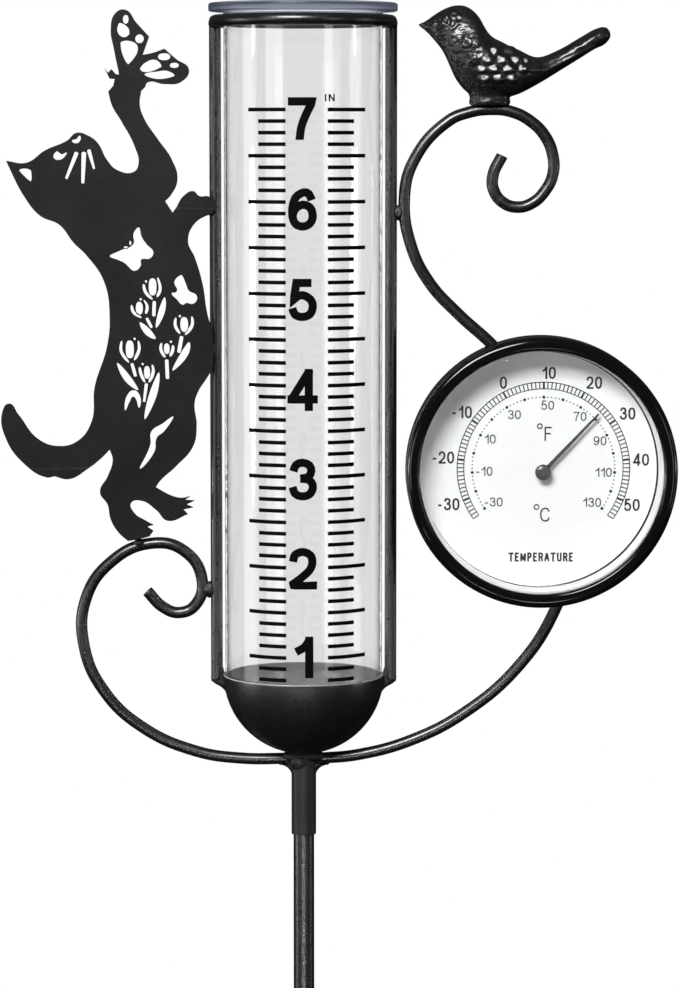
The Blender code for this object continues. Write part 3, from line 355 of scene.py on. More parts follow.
# Lamps: place, point faced, width and height, all in metres, and radiance
LAMPS = [
    ("key", (-0.25, -0.92, 0.99), (0.04, 0.0, 0.4), (0.5, 0.34), 27.0),
    ("left_strip", (-0.84, -0.93, 0.36), (0.0, 0.0, 0.36), (0.6, 0.42), 2.0),
    ("right_strip", (0.68, -0.87, 0.36), (0.0, 0.0, 0.36), (0.24, 0.42), 2.2),
    ("left_side", (-1.1, -0.12, 0.3), (0.0, 0.0, 0.34), (0.5, 0.6), 1.8),
    ("right_side", (1.1, -0.12, 0.3), (0.0, 0.0, 0.34), (0.4, 0.6), 0.7),
]
# Narrow round lamps: place, aimed at, radius, degrees of cone, brightness
SNOOTS = [
    ("stake_left", (-0.30, -1.08, -0.02), (0.0, 0.0, 0.245), 0.1, 5.0, 38.0),
    ("stake_middle", (-0.02, -1.12, -0.02), (0.0, 0.0, 0.245), 0.1, 5.0, 46.0),
    ("stake_right", (0.24, -1.09, -0.02), (0.0, 0.0, 0.245), 0.1, 5.0, 24.0),
    ("cup_left", (-1.05, -0.2, 0.27), (0.0, 0.0, 0.3), 0.2, 9.0, 24.0),
    ("cup_right", (1.05, -0.12, 0.27), (0.0, 0.0, 0.31), 0.2, 7.0, 15.0),
    ("bezel_low", (0.13, -1.15, 0.0), (0.066, 0.0, 0.35), 0.09, 6.0, 12.0),
]

CAMERA_PLACE = (0.010, -1.002, 0.475)     # metres
CAMERA_DOWN = 5.7           # degrees below level
CAMERA_LENS = 132.0         # focal length in millimetres
SHOWN_BY = ("Is Camera Ray", "Is Transmission Ray")     # rays that see the plain backdrop and floor

MATERIALS = {}              # by name, filled by principled()


# ---------------------------------------------------------------- materials

def feed(tree, node, inputs):
    """Give a shader node's inputs their values; an output socket is linked instead."""
    for name, value in inputs.items():
        if isinstance(value, bpy.types.NodeSocket):
            tree.links.new(value, node.inputs[name])
        else:
            node.inputs[name].default_value = value
    return node


def add_node(tree, kind, inputs=None):
    """New shader node with its inputs."""
    return feed(tree, tree.nodes.new("ShaderNode" + kind), inputs or {})


def principled(name, colour, roughness, metallic=0.0):
    """Keep a new material in MATERIALS; gives its node tree and its Principled shader."""
    made = bpy.data.materials.new(name)
    made.use_nodes = True
    MATERIALS[name] = made
    tree = made.node_tree
    return tree, feed(tree, tree.nodes["Principled BSDF"],
                      {"Base Color": (*colour, 1.0), "Roughness": roughness, "Metallic": metallic})


def noise_node(tree, scale, detail=3.0, stretch=None):
    """Noise in the object's own coordinates; scale is per metre."""
    where = add_node(tree, "TexCoord").outputs["Object"]
    if stretch:
        where = add_node(tree, "Mapping", {"Vector": where, "Scale": stretch}).outputs["Vector"]
    return add_node(tree, "TexNoise", {"Vector": where, "Scale": scale, "Detail": detail}).outputs["Fac"]


def vary(tree, source, low, high, start=0.3, end=0.7):
    """Map a value between start and end onto low to high."""
    return add_node(tree, "MapRange", {"Value": source, "From Min": start, "From Max": end,
                                       "To Min": low, "To Max": high}).outputs["Result"]


def tint(tree, source, dark, light):
    """Blend between two colours by a 0 to 1 value."""
    ramp = add_node(tree, "ValToRGB", {"Fac": source})
    for stop, position, colour in zip(ramp.color_ramp.elements, (0.35, 0.65), (dark, light)):
        stop.position = position
        stop.color = (*colour, 1.0)
    return ramp.outputs["Color"]


def bumps(tree, layers):
    """Normal with bump layers (source, depth in metres, strength) chained into it."""
    normal = {}
    for source, depth, strength in layers:
        bump = add_node(tree, "Bump", {"Distance": depth, "Strength": strength, "Height": source, **normal})
        normal = {"Normal": bump.outputs["Normal"]}
    return normal["Normal"]


def edge_wear(tree, base, worn, start, end):
    """Lighten a colour on sharp outer edges, broken up by noise."""
    patchy = add_node(tree, "Math", {0: add_node(tree, "NewGeometry").outputs["Pointiness"],
                                     1: vary(tree, noise_node(tree, 700.0), 0.94, 1.06)})
    patchy.operation = "MULTIPLY"
    blend = add_node(tree, "Mix")
    blend.data_type = "RGBA"
    feed(tree, blend, {0: vary(tree, patchy.outputs[0], 0.0, 1.0, start, end), 6: base, 7: (*worn, 1.0)})
    return blend.outputs[2]


def powder_coat(name, dark, light, rough_low, rough_high, grain=2600.0, depth=0.00005, shine=0.5):
    """Black powder coat: fine orange-peel grain, slow changes of shine, thin edges."""
    tree, shader = principled(name, dark, rough_low)
    fine = noise_node(tree, grain, 2.0)
    peel = noise_node(tree, grain / 4, 2.0)
    colour = tint(tree, noise_node(tree, 60.0, 4.0), dark, light)
    feed(tree, shader, {"Base Color": edge_wear(tree, colour, (0.03, 0.03, 0.029), 0.57, 0.72),
                        "Roughness": vary(tree, fine, rough_low, rough_high),
                        "Specular IOR Level": shine,
                        "Normal": bumps(tree, [(peel, depth * 1.6, 0.5), (fine, depth, 0.6)])})


def cast_coat(name):
    """Painted rough casting of the bird: lumpy, with glints."""
    tree, shader = principled(name, (0.006, 0.006, 0.0065), 0.22)
    lumps = noise_node(tree, 420.0, 2.0)
    fine = noise_node(tree, 1700.0, 2.0)
    colour = tint(tree, lumps, (0.004, 0.004, 0.0045), (0.012, 0.012, 0.013))
    feed(tree, shader, {"Base Color": edge_wear(tree, colour, (0.09, 0.088, 0.085), 0.56, 0.72),
                        "Roughness": vary(tree, fine, 0.22, 0.38),
                        "Coat Weight": 0.4, "Coat Roughness": 0.25,
                        "Normal": bumps(tree, [(lumps, 0.00016, 0.4), (fine, 0.00007, 0.4)])})


def moulded(name, colour, rough_low, rough_high, grain, depth, coat=0.0, shine=0.5):
    """Moulded plastic or enamel with a faint grain."""
    tree, shader = principled(name, colour, rough_low)
    fine = noise_node(tree, grain)
    lighter = tuple(min(1.0, value * 1.04 + 0.001) for value in colour)
    feed(tree, shader, {"Base Color": tint(tree, noise_node(tree, 90.0), colour, lighter),
                        "Roughness": vary(tree, fine, rough_low, rough_high),
                        "Normal": bumps(tree, [(fine, depth, 0.4)]),
                        "Specular IOR Level": shine, "Coat Weight": coat, "Coat Roughness": 0.05})


def metal(name, dark, light, roughness, stretch):
    """Bare metal with drawn or turned lines along one direction."""
    tree, shader = principled(name, light, roughness, metallic=1.0)
    lines = noise_node(tree, 900.0, 2.0, stretch)
    feed(tree, shader, {"Base Color": tint(tree, lines, dark, light),
                        "Roughness": vary(tree, lines, roughness * 0.8, roughness * 1.4),
                        "Normal": bumps(tree, [(lines, 0.00002, 0.4)])})


def ink(name, colour):
    """Flat printing ink."""
    tree, shader = principled(name, colour, 0.6)
    feed(tree, shader, {"Specular IOR Level": 0.06,
                        "Roughness": vary(tree, noise_node(tree, 1500.0), 0.55, 0.7)})


def by_ray(tree, output, kinds, shown, otherwise):
    """Surface that has one shader for rays of two kinds and another for all other rays."""
    rays = add_node(tree, "LightPath")
    either = add_node(tree, "Math", {index: rays.outputs[kind] for index, kind in enumerate(kinds)})
    either.operation = "MAXIMUM"
    mix = add_node(tree, "MixShader", {0: either.outputs[0], 1: otherwise.outputs[0], 2: shown.outputs[0]})
    feed(tree, tree.nodes[output], {"Surface": mix.outputs[0]})


def clear(name, colour, roughness, ior, wave_depth, gloss=0.0):
    """Clear plastic or glass with slight moulding waves."""
    tree, shader = principled(name, colour, roughness)
    feed(tree, shader, {"Transmission Weight": 1.0, "IOR": ior, "Coat Weight": gloss, "Coat Roughness": 0.02,
                        "Roughness": vary(tree, noise_node(tree, 300.0), roughness, roughness + 0.02)})
    if wave_depth:
        waves = noise_node(tree, 40.0, 2.0, (1.0, 1.0, 0.15))
        feed(tree, shader, {"Normal": bumps(tree, [(waves, wave_depth, 0.3)])})
    open_air = add_node(tree, "BsdfTransparent", {"Color": (*(value ** 0.5 * 0.97 for value in colour), 1.0)})
    by_ray(tree, "Material Output", ("Is Shadow Ray", "Is Diffuse Ray"), open_air, shader)


powder_coat("powder_coat", (0.0035, 0.0035, 0.004), (0.007, 0.007, 0.0075), 0.42, 0.56)
powder_coat("satin_coat", (0.0035, 0.0035, 0.004), (0.006, 0.006, 0.0065), 0.26, 0.36, 900.0, 0.00001,
            0.95)
powder_coat("cup_coat", (0.0025, 0.0025, 0.003), (0.006, 0.006, 0.0065), 0.32, 0.46, 900.0, 0.00004, 0.7)
powder_coat("sheet_coat", (0.004, 0.004, 0.0045), (0.009, 0.009, 0.0095), 0.5, 0.62, shine=0.2)
cast_coat("cast_coat")
powder_coat("cup_inside", (0.3, 0.3, 0.3), (0.36, 0.36, 0.36), 0.5, 0.6)
# Light grey coat for the top of the cup's rim: a painted highlight
powder_coat("rim_painted_highlight", (0.3, 0.3, 0.3), (0.5, 0.5, 0.5), 0.3, 0.4)
moulded("case_plastic", (0.018, 0.018, 0.019), 0.42, 0.55, 1500.0, 0.00004)
moulded("bezel_plastic", (0.003, 0.003, 0.0035), 0.07, 0.13, 500.0, 0.00001, coat=0.22, shine=0.3)
clear("lens_glass", (0.99, 1.0, 0.995), 0.0, 1.08, 0.0, gloss=1.0)
moulded("gasket_rubber", (0.015, 0.015, 0.015), 0.7, 0.85, 1200.0, 0.00006)
moulded("white_plastic", (0.9, 0.9, 0.895), 0.3, 0.4, 900.0, 0.00001)
moulded("dial_face", (0.97, 0.97, 0.97), 0.5, 0.6, 1400.0, 0.000006)
ink("dial_ink", (0.002, 0.002, 0.002))
ink("dial_ink_grey", (0.03, 0.03, 0.033))
ink("tube_ink", (0.001, 0.001, 0.001))
metal("brass", (0.55, 0.38, 0.14), (0.75, 0.57, 0.27), 0.3, (1.0, 6.0, 1.0))
metal("bimetal", (0.5, 0.44, 0.32), (0.68, 0.62, 0.5), 0.35, (1.0, 6.0, 1.0))
metal("screw_steel", (0.48, 0.48, 0.47), (0.68, 0.68, 0.66), 0.3, (6.0, 1.0, 1.0))
moulded("pointer_paint", (0.004, 0.004, 0.0045), 0.25, 0.32, 900.0, 0.000002)
clear("clear_plastic", (0.872, 0.872, 0.875), 0.0, 1.12, 0.00012, gloss=0.75)
clear("lip_plastic", (0.11, 0.132, 0.19), 0.36, 1.4, 0.0002)


# ---------------------------------------------------------------- mesh tools

def place(mesh, material, body, node=None, angle=35.0):
    """Make a mesh one shown piece of its name: smooth where it is round, riding on its body."""
    materials = (material,) if isinstance(material, str) else material
    for each in materials:
        mesh.materials.append(MATERIALS[each])
    mesh.shade_smooth()
    mesh.set_sharp_from_angle(angle=math.radians(angle))
    made = bpy.data.objects.new(mesh.name, mesh)
    bpy.context.collection.objects.link(made)
    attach(made, body)
    if node:
        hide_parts(node)
    return made


def arc(centre, radius, start, end, steps):
    """Points (u, v) along an arc, both ends included, angles in degrees."""
    points = []
    for step in range(steps + 1):
        angle = math.radians(start + (end - start) * step / steps)
        points.append((centre[0] + radius * math.cos(angle), centre[1] + radius * math.sin(angle)))
    return points


def even(start, end, parts, steps):
    """Values at the given steps of a stretch cut into equal parts."""
    return [start + (end - start) * step / parts for step in steps]


def finished(name, solid):
    """Mesh of an edited solid, which is then freed."""
    mesh = bpy.data.meshes.new(name)
    solid.to_mesh(mesh)
    solid.free()
    return mesh


def turned_mesh(name, profile, sides=128, forward=None):
    """Solid of revolution from a closed (radius, height) profile, anticlockwise. Heights run
    along Z, or forwards (-Y) from the scrolls' plane about the dial's axis when forward is given."""
    solid = bmesh.new()
    rings = []
    for radius, height in profile:
        ring = []
        for side in range(1 if radius < 1e-6 else sides):
            angle = math.tau * side / sides
            across = radius * math.cos(angle)
            up = radius * math.sin(angle)
            if forward:
                spot = Vector((forward[0] + across, -height, forward[1] + up))
            else:
                spot = Vector((across, up, height))
            ring.append(solid.verts.new(spot * MM))
        rings.append(ring)
    for here, there in zip(rings, rings[1:] + rings[:1]):
        for side in range(sides):
            after = (side + 1) % sides
            if len(here) == 1 and len(there) == 1:
                break
            if len(here) == 1:
                solid.faces.new((here[0], there[after], there[side]))
            elif len(there) == 1:
                solid.faces.new((here[side], here[after], there[0]))
            else:
                solid.faces.new((here[side], here[after], there[after], there[side]))
    return finished(name, solid)


def skin(solid, rings):
    """Faces over rings of equally many vertices, closed at both ends."""
    for here, there in zip(rings, rings[1:]):
        for side in range(len(here)):
            after = (side + 1) % len(here)
            solid.faces.new((here[side], here[after], there[after], there[side]))
    solid.faces.new(list(reversed(rings[0])))
    solid.faces.new(rings[-1])


def extruded_mesh(name, corners, move):
    """Plate from the corners of one face and the way it is drawn out, in millimetres."""
    solid = bmesh.new()
    base = solid.faces.new([solid.verts.new(corner * MM) for corner in corners])
    raised = bmesh.ops.extrude_face_region(solid, geom=[base])["geom"]
    far = [item for item in raised if isinstance(item, bmesh.types.BMVert)]
    bmesh.ops.translate(solid, verts=far, vec=move * MM)
    bmesh.ops.recalc_face_normals(solid, faces=solid.faces)
    return finished(name, solid)


def softened(profile, radius, steps=3):
    """Round every corner of a closed (radius, height) profile, except those on the axis."""
    points = []
    for index, corner in enumerate(profile):
        here = Vector(corner)
        before = Vector(profile[index - 1]) - here
        after = Vector(profile[(index + 1) % len(profile)]) - here
        reach = min(radius, before.length * 0.45, after.length * 0.45)
        straight = before.length > 0 and after.length > 0 and before.angle(after) > math.radians(150)
        if here.x < 1e-6 or straight:
            points.append(here)
            continue
        first = here + before.normalized() * reach
        last = here + after.normalized() * reach
        points.append(first + before.normalized() * min(0.05, before.length * 0.04))
        for step in range(steps + 1):
            share = step / steps
            points.append(first * (1 - share) ** 2 + here * 2 * share * (1 - share) + last * share ** 2)
        points.append(last + after.normalized() * min(0.05, after.length * 0.04))
    return points


def curve_mesh(curve):
    """Mesh of a curve, closed and facing out."""
    holder = bpy.data.objects.new(curve.name, curve)
    bpy.context.collection.objects.link(holder)
    bpy.context.view_layer.update()
    mesh = bpy.data.meshes.new_from_object(holder.evaluated_get(bpy.context.evaluated_depsgraph_get()))
    bpy.data.objects.remove(holder, do_unlink=True)
    mesh.name = curve.name
    mesh.materials.clear()
    solid = bmesh.new()
    solid.from_mesh(mesh)
    bmesh.ops.remove_doubles(solid, verts=solid.verts, dist=0.002 * MM)
    bmesh.ops.recalc_face_normals(solid, faces=solid.faces)
    solid.to_mesh(mesh)
    solid.free()
    return mesh


def bevel(thing, width, segments=3, angle=50.0):
    """Round the sharp edges of a piece."""
    rounder = thing.modifiers.new("edges", "BEVEL")
    rounder.width = width * MM
    rounder.segments = segments
    rounder.limit_method = "ANGLE"
    rounder.angle_limit = math.radians(angle)
    rounder.use_clamp_overlap = False
    rounder.harden_normals = False


def apply_modifiers(thing):
    """Turn the evaluated shape into the piece's own mesh."""
    graph = bpy.context.evaluated_depsgraph_get()
    mesh = bpy.data.meshes.new_from_object(thing.evaluated_get(graph))
    thing.modifiers.clear()
    thing.data = mesh


def carve(thing, tool_mesh):
    """Cut the shape of a mesh out of a piece."""
    tool = bpy.data.objects.new("cutter", tool_mesh)
    bpy.context.collection.objects.link(tool)
    cut = thing.modifiers.new("cut", "BOOLEAN")
    cut.operation = "DIFFERENCE"
    cut.use_self = True
    cut.object = tool
    bpy.context.view_layer.update()
    apply_modifiers(thing)
    bpy.data.objects.remove(tool, do_unlink=True)


def rod(node, points, radius, body, smooth=True, depth=0.0):
    """Round rod along (x, z) points, with softly broken end edges."""
    curve = bpy.data.curves.new(node + "_fine", "CURVE")
    curve.dimensions = "3D"
    curve.bevel_depth = radius * MM
    curve.bevel_resolution = 6
    curve.use_fill_caps = True
    curve.resolution_u = 14
    spline = curve.splines.new("BEZIER" if smooth else "POLY")
    knots = spline.bezier_points if smooth else spline.points
    knots.add(len(points) - 1)
    for knot, (x, z) in zip(knots, points):
        spot = (x * MM, depth * MM, z * MM)
        if smooth:
            knot.co = spot
            knot.handle_left_type = "AUTO"
            knot.handle_right_type = "AUTO"
        else:
            knot.co = (*spot, 1.0)
    bevel(place(curve_mesh(curve), "satin_coat", body, node), 0.3, angle=60.0)


def bead(name, centre, size, body, seed=0.0, ripple=0.16):
    """Weld bead: a lumpy ellipsoid; size is its half axes."""
    lump = bmesh.new()
    bmesh.ops.create_icosphere(lump, subdivisions=4, radius=1.0)
    for vertex in lump.verts:
        unit = vertex.co.copy()
        waves = noise.noise(unit * 1.7 + Vector((seed, seed * 2, 0.0)))
        ripples = math.sin(unit.x * 11.0 + waves * 3.0) * 0.25
        vertex.co = (unit * Vector(size) * (1.0 + ripple * (waves + ripples)) + Vector(centre)) * MM
    place(finished(name, lump), "powder_coat", body, angle=80.0)


# ---------------------------------------------------------------- stake and frame

def make_stake():
    """Spike, step fork, socket and upper rod."""
    tip = SPIKE_LOW.z
    top = SPIKE_HIGH.z
    spike = [(0.0, tip), (0.35, tip + 0.5), (STAKE_R * 0.62, tip + 9.0), (STAKE_R, tip + 16.0),
             (STAKE_R, top), (0.0, top)]
    place(turned_mesh("spike_rod_fine", softened(spike, 1.2), 48), "powder_coat", "ground_spike", "spike_rod")
    for node, low, high, body in (("spike_socket", SLEEVE_LOW.z, SLEEVE_HIGH.z, "ground_spike"),
                                  ("stake_socket", SOCKET_LOW.z, SOCKET_HIGH.z, "head")):
        sleeve = [(SOCKET_BORE_R, low), (SOCKET_R, low), (SOCKET_R, high), (SOCKET_BORE_R, high)]
        place(turned_mesh(node + "_fine", softened(sleeve, 0.16), 64), "powder_coat", body, node)
    stake = [(0.0, STAKE_LOW.z), (STAKE_R, STAKE_LOW.z), (STAKE_R, STAKE_HIGH.z), (0.0, STAKE_HIGH.z)]
    place(turned_mesh("upper_stake_fine", softened(stake, 0.5), 64), "satin_coat", "stake", "upper_stake")

    radius = (FORK_HIGH.y - FORK_LOW.y) / 2
    depth = (FORK_HIGH.y + FORK_LOW.y) / 2
    half = FORK_HIGH.x - radius
    bar_z = FORK_HIGH.z - radius
    turn = 9.0
    route = [(-half, FORK_LOW.z + step * 10.0) for step in range(8)]
    route += arc((turn - half, bar_z - turn), turn, 180, 90, 14)
    route += arc((half - turn, bar_z - turn), turn, 90, 0, 14)
    route += [(half, z) for x, z in reversed(route[:8])]
    rod("ground_fork", route, radius, "ground_spike", smooth=False, depth=depth)
    for side, sign in SIDES:
        bead("fork_weld_" + side, (sign * 2.4, STAKE_R + 0.2, bar_z), (1.6, 1.4, 2.0), "ground_spike",
             seed=sign * 3.0)


# Weld webs on the right-hand side: under the foot of the upright, and under the end of the scroll
FOOT_WEB = [(25.9, 324.0), (25.8, 322.6), (24.6, 321.7)] + arc((26.0, 316.9), 4.9, 112, 165, 6)
FOOT_WEB += [(20.4, 319.3), (21.7, 323.0), (22.4, 326.2), (23.4, 327.6)]
SOCKET_WEB = [(1.0, 300.6), (8.0, 300.2), (7.0, 299.0)] + arc((6.7, 295.4), 3.4, 90, 174, 8)
SOCKET_WEB += [(1.0, 295.4)]


def web(name, outline, thickness):
    """Rounded plate of weld metal between two parts, its outline in the plane of the rods."""
    corners = [Vector((x, thickness / 2, z)) for x, z in outline]
    mesh = extruded_mesh(name, corners, Vector((0.0, -thickness, 0.0)))
    bevel(place(mesh, "powder_coat", "head"), thickness * 0.4, 4)


def make_frame():
    """Cup, uprights, ring and scrolls, with their welds."""
    centre = (0.0, BOWL_Z)
    cup = arc(centre, CUP_R, -90, -0.6, 48)
    cup += [(CUP_R - 0.08, BOWL_Z), (CUP_R - CUP_WALL + 0.08, BOWL_Z)]
    cup += arc(centre, CUP_R - CUP_WALL, -0.6, -90, 48)
    shell = turned_mesh("cup_fine", cup, 160)
    place(shell, ("cup_coat", "cup_inside", "rim_painted_highlight"), "head", "cup")
    for face in shell.polygons:
        reach = (face.center / MM - Vector((0.0, 0.0, BOWL_Z))).length
        # The rim's top faces get the light grey coat, a painted highlight along the cup's rim
        if face.center.z > (BOWL_Z - 0.3) * MM:
            face.material_index = 2
        elif reach < CUP_R - CUP_WALL / 2:
            face.material_index = 1

    foot_z = node_box("left_upright")[0].z
    for side, sign in SIDES:
        route = [(sign * RING_R, z) for z in even(foot_z, RING_Z - 0.4, 24, range(25))]
        rod(side + "_upright", route, ROD_R, "head", smooth=False)
        web(side + "_foot_web", [(sign * x, z) for x, z in FOOT_WEB], 2.6)
        bead(side + "_ring_weld", (sign * (RING_R - 0.05), 0.0, RING_Z - 0.6), (1.85, 2.6, 1.75), "head",
             seed=sign * 5.1, ripple=0.05)

    ring = arc((RING_R, RING_Z), ROD_R, 0, 345, 23)
    place(turned_mesh("top_ring_fine", ring, 160), "satin_coat", "head", "top_ring")

    rod("left_scroll", LEFT_SCROLL, SCROLL_R, "head")
    rod("right_scroll", RIGHT_SCROLL, SCROLL_R, "head")
    for side, sign in SIDES:
        web(side + "_socket_web", [(sign * x, z) for x, z in SOCKET_WEB], 2.8)
    bead("cup_weld", (0.0, -0.2, 301.4), (6.0, 3.3, 2.2), "head", seed=6.0, ripple=0.06)
    bead("socket_weld", (-1.0, -1.9, 299.9), (2.7, 1.9, 2.6), "head", seed=2.0, ripple=0.05)
    bead("left_tack", (-26.4, 0.0, 348.3), (2.5, 1.8, 2.2), "head", seed=7.0)
    bead("right_tack", (26.4, 0.0, 453.0), (2.0, 1.7, 2.1), "head", seed=8.0)


def make_tube():
    """Clear tube with its round bottom and its lip, which is thicker and bluer."""
    inner = TUBE_R - TUBE_WALL
    centre = (0.0, BOWL_Z)
    top = TUBE_HIGH.z
    under = top - LIP_THICK
    profile = arc(centre, TUBE_R, -90, 0, 40)
    profile += [(TUBE_R, z) for z in even(BOWL_Z, under - 1.2, 8, range(1, 9))]
    profile += arc((TUBE_R + 0.8, under - 0.8), 0.8, 180, 90, 5)
    profile += arc((LIP_R - 0.5, under + 0.5), 0.5, -90, 0, 5)
    profile += arc((LIP_R - 0.7, top - 0.7), 0.7, 0, 90, 6)
    profile += arc((inner + 0.8, top - 0.8), 0.8, 90, 180, 6)
    profile += [(inner, z) for z in even(BOWL_Z, top - 1.5, 8, range(7, 0, -1))]
    profile += arc(centre, inner, 0, -90, 40)
    mesh = turned_mesh("rain_tube_fine", profile, 160)
    place(mesh, ("clear_plastic", "lip_plastic"), "tube", "rain_tube")
    for face in mesh.polygons:
        if face.center.z > (under - 0.4) * MM:
            face.material_index = 1


# ---------------------------------------------------------------- print

def smooth_line(rows, step):
    """Points along rows of smooth stretches joined at corners, about one step apart."""
    corners = [row[0] for row in rows[1:]]
    line = [Vector(rows[0][0])]
    for index, row in enumerate(rows):
        knots = [Vector(point) for point in row]
        if index + 1 < len(rows):
            knots.append(Vector(corners[index]))
        for here in range(len(knots) - 1):
            first = knots[here]
            last = knots[here + 1]
            before = knots[here - 1] if here else first * 2 - last
            after = knots[here + 2] if here + 2 < len(knots) else last * 2 - first
            count = max(1, math.ceil((last - first).length / step))
            for part in range(1, count + 1):
                t = part / count
                line.append(0.5 * ((2 * first) + (last - before) * t
                                   + (2 * before - 5 * first + 4 * last - after) * t * t
                                   + (3 * first - before - 3 * last + after) * t ** 3))
    return line


def stroke_quads(line, width):
    """Band of quads of one width along a line."""
    sides = []
    for index, point in enumerate(line):
        before = (point - line[index - 1]).normalized() if index else None
        after = (line[index + 1] - point).normalized() if index + 1 < len(line) else None
        if before is None or after is None:
            along = after if before is None else before
            out = Vector((-along.y, along.x))
        else:
            along = (before + after).normalized()
            out = Vector((-along.y, along.x)) / max(0.45, along.dot(after))
        sides.append((point + out * width / 2, point - out * width / 2))
    return [(a[0], a[1], b[1], b[0]) for a, b in zip(sides, sides[1:])]


def lettering(text, centre, height, stroke, width=1.0, spacing=0.3):
    """Quads of a line of characters centred on a point."""
    widths = [GLYPHS[letter][0] * height * width for letter in text]
    gap = spacing * height * 0.5 * width
    start = centre[0] - (sum(widths) + gap * (len(text) - 1)) / 2
    low = centre[1] - height / 2
    high = centre[1] + height / 2
    inset = stroke / 2
    quads = []
    for letter, wide in zip(text, widths):
        for rows in GLYPHS[letter][1]:
            sized = [[(start + inset + u * (wide - stroke), low + inset + v * (height - stroke))
                      for u, v in row] for row in rows]
            for quad in stroke_quads(smooth_line(sized, height / 12), stroke):
                quads.append([Vector((min(max(p.x, start), start + wide), min(max(p.y, low), high)))
                              for p in quad])
        start += wide + gap
    return quads


def bar(x0, x1, z0, z1):
    """Quads of an upright rectangle, cut into lengths of about 1 mm along X."""
    count = max(1, math.ceil(abs(x1 - x0)))
    quads = []
    for part in range(count):
        a = x0 + (x1 - x0) * part / count
        b = x0 + (x1 - x0) * (part + 1) / count
        quads.append([Vector((a, z0)), Vector((b, z0)), Vector((b, z1)), Vector((a, z1))])
    return quads


def disc(centre, radius):
    """One round polygon."""
    return [Vector(point) for point in arc(centre, radius, 0, 360, 12)[:-1]]


def ring_quads(inner, outer, start, end, steps, centre=(0.0, 0.0)):
    """Quads of a ring sector, angles in degrees."""
    low = arc(centre, inner, start, end, steps)
    high = arc(centre, outer, start, end, steps)
    return [[Vector(low[i]), Vector(high[i]), Vector(high[i + 1]), Vector(low[i + 1])] for i in range(steps)]


def crescent_quads(radius, thickest, toward, steps, centre):
    """Quads of a ring line that is thickest toward one side and fades out on the other."""
    quads = []
    for step in range(steps):
        ends = []
        for edge in (step, step + 1):
            angle = math.tau * edge / steps
            width = thickest * max(0.0, 0.55 + 0.45 * math.cos(angle - math.radians(toward))) ** 1.5
            ray = Vector((math.cos(angle), math.sin(angle)))
            ends.append((Vector(centre) + ray * (radius - width), Vector(centre) + ray * radius, width))
        if min(ends[0][2], ends[1][2]) > 0.06:
            quads.append([ends[0][0], ends[0][1], ends[1][1], ends[1][0]])
    return quads


def printed(name, polygons, spot, material, body):
    """Thin closed layer from flat polygons, joined where they overlap. spot(u, v, depth) gives
    the place of a flat point at a height of 0 or INK above the surface."""
    flat = []
    faces = []
    for polygon in polygons:
        for index in range(1, len(polygon) - 1):
            a, b, c = polygon[0], polygon[index], polygon[index + 1]
            turn = (b - a).cross(c - a)
            if abs(turn) > 1e-7:
                faces.append([len(flat), len(flat) + 1, len(flat) + 2])
                flat += [a, b, c] if turn > 0 else [a, c, b]
    points, _, triangles, _, _, sources = delaunay_2d_cdt(flat, [], faces, 1, 1e-5)
    triangles = [triangle for triangle, source in zip(triangles, sources) if source]
    solid = bmesh.new()
    back = [solid.verts.new(spot(p.x, p.y, 0.0) * MM) for p in points]
    front = [solid.verts.new(spot(p.x, p.y, INK) * MM) for p in points]
    for triangle in triangles:
        a, b, c = (points[i] for i in triangle)
        order = list(triangle) if (b - a).cross(c - a) > 0 else list(reversed(triangle))
        solid.faces.new([front[i] for i in order])
        solid.faces.new([back[i] for i in reversed(order)])
    open_edges = [edge for edge in solid.edges if len(edge.link_faces) == 1]
    lifted = {vertex: front[i] for i, vertex in enumerate(back)}
    for edge in open_edges:
        if edge.verts[0] in lifted:
            a, b = edge.verts
            solid.faces.new((a, b, lifted[b], lifted[a]))
    loose = [vertex for vertex in solid.verts if not vertex.link_faces]
    bmesh.ops.delete(solid, geom=loose, context="VERTS")
    bmesh.ops.recalc_face_normals(solid, faces=solid.faces)
    place(finished(name, solid), material, body, angle=30.0)


def on_tube(x, z, height):
    """Place on the front of the tube."""
    radius = TUBE_R + INK_LIFT + height
    shown = x * radius / TUBE_R
    return Vector((shown, -math.sqrt(radius * radius - shown * shown), z))


def on_dial(x, z, height):
    """Place on the face of the dial plate, from the print's centre."""
    return Vector((PRINT_X + x, PLATE_LOW.y - INK_LIFT - height, PRINT_Z + z))


def make_scale():
    """Inch scale printed on the tube."""
    polygons = []
    steps = round((SCALE_LAST - SCALE_FIRST) * 8)
    for step in range(steps + 1):
        inches = SCALE_FIRST + step / 8
        z = SCALE_ZERO_Z + INCH * inches
        far = 2 if (inches * 2) % 1 == 0 else 1
        for side in (LEFT_MARKS, RIGHT_MARKS):
            polygons += bar(side[0], side[far], z - MARK_THICK / 2, z + MARK_THICK / 2)
    for number in range(1, 8):
        z = NUMBER_FIRST_Z + NUMBER_PITCH * (number - 1)
        polygons += lettering(str(number), (0.0, z), NUMBER_HEIGHT, NUMBER_STROKE)
    polygons += lettering("IN", (7.35, 484.3), 2.1, 0.38, width=1.15, spacing=0.5)
    printed("tube_print", polygons, on_tube, "tube_ink", "tube")


def polar(radius, clockwise):
    """Point at an angle clockwise from straight up."""
    angle = math.radians(clockwise)
    return radius * math.sin(angle), radius * math.cos(angle)


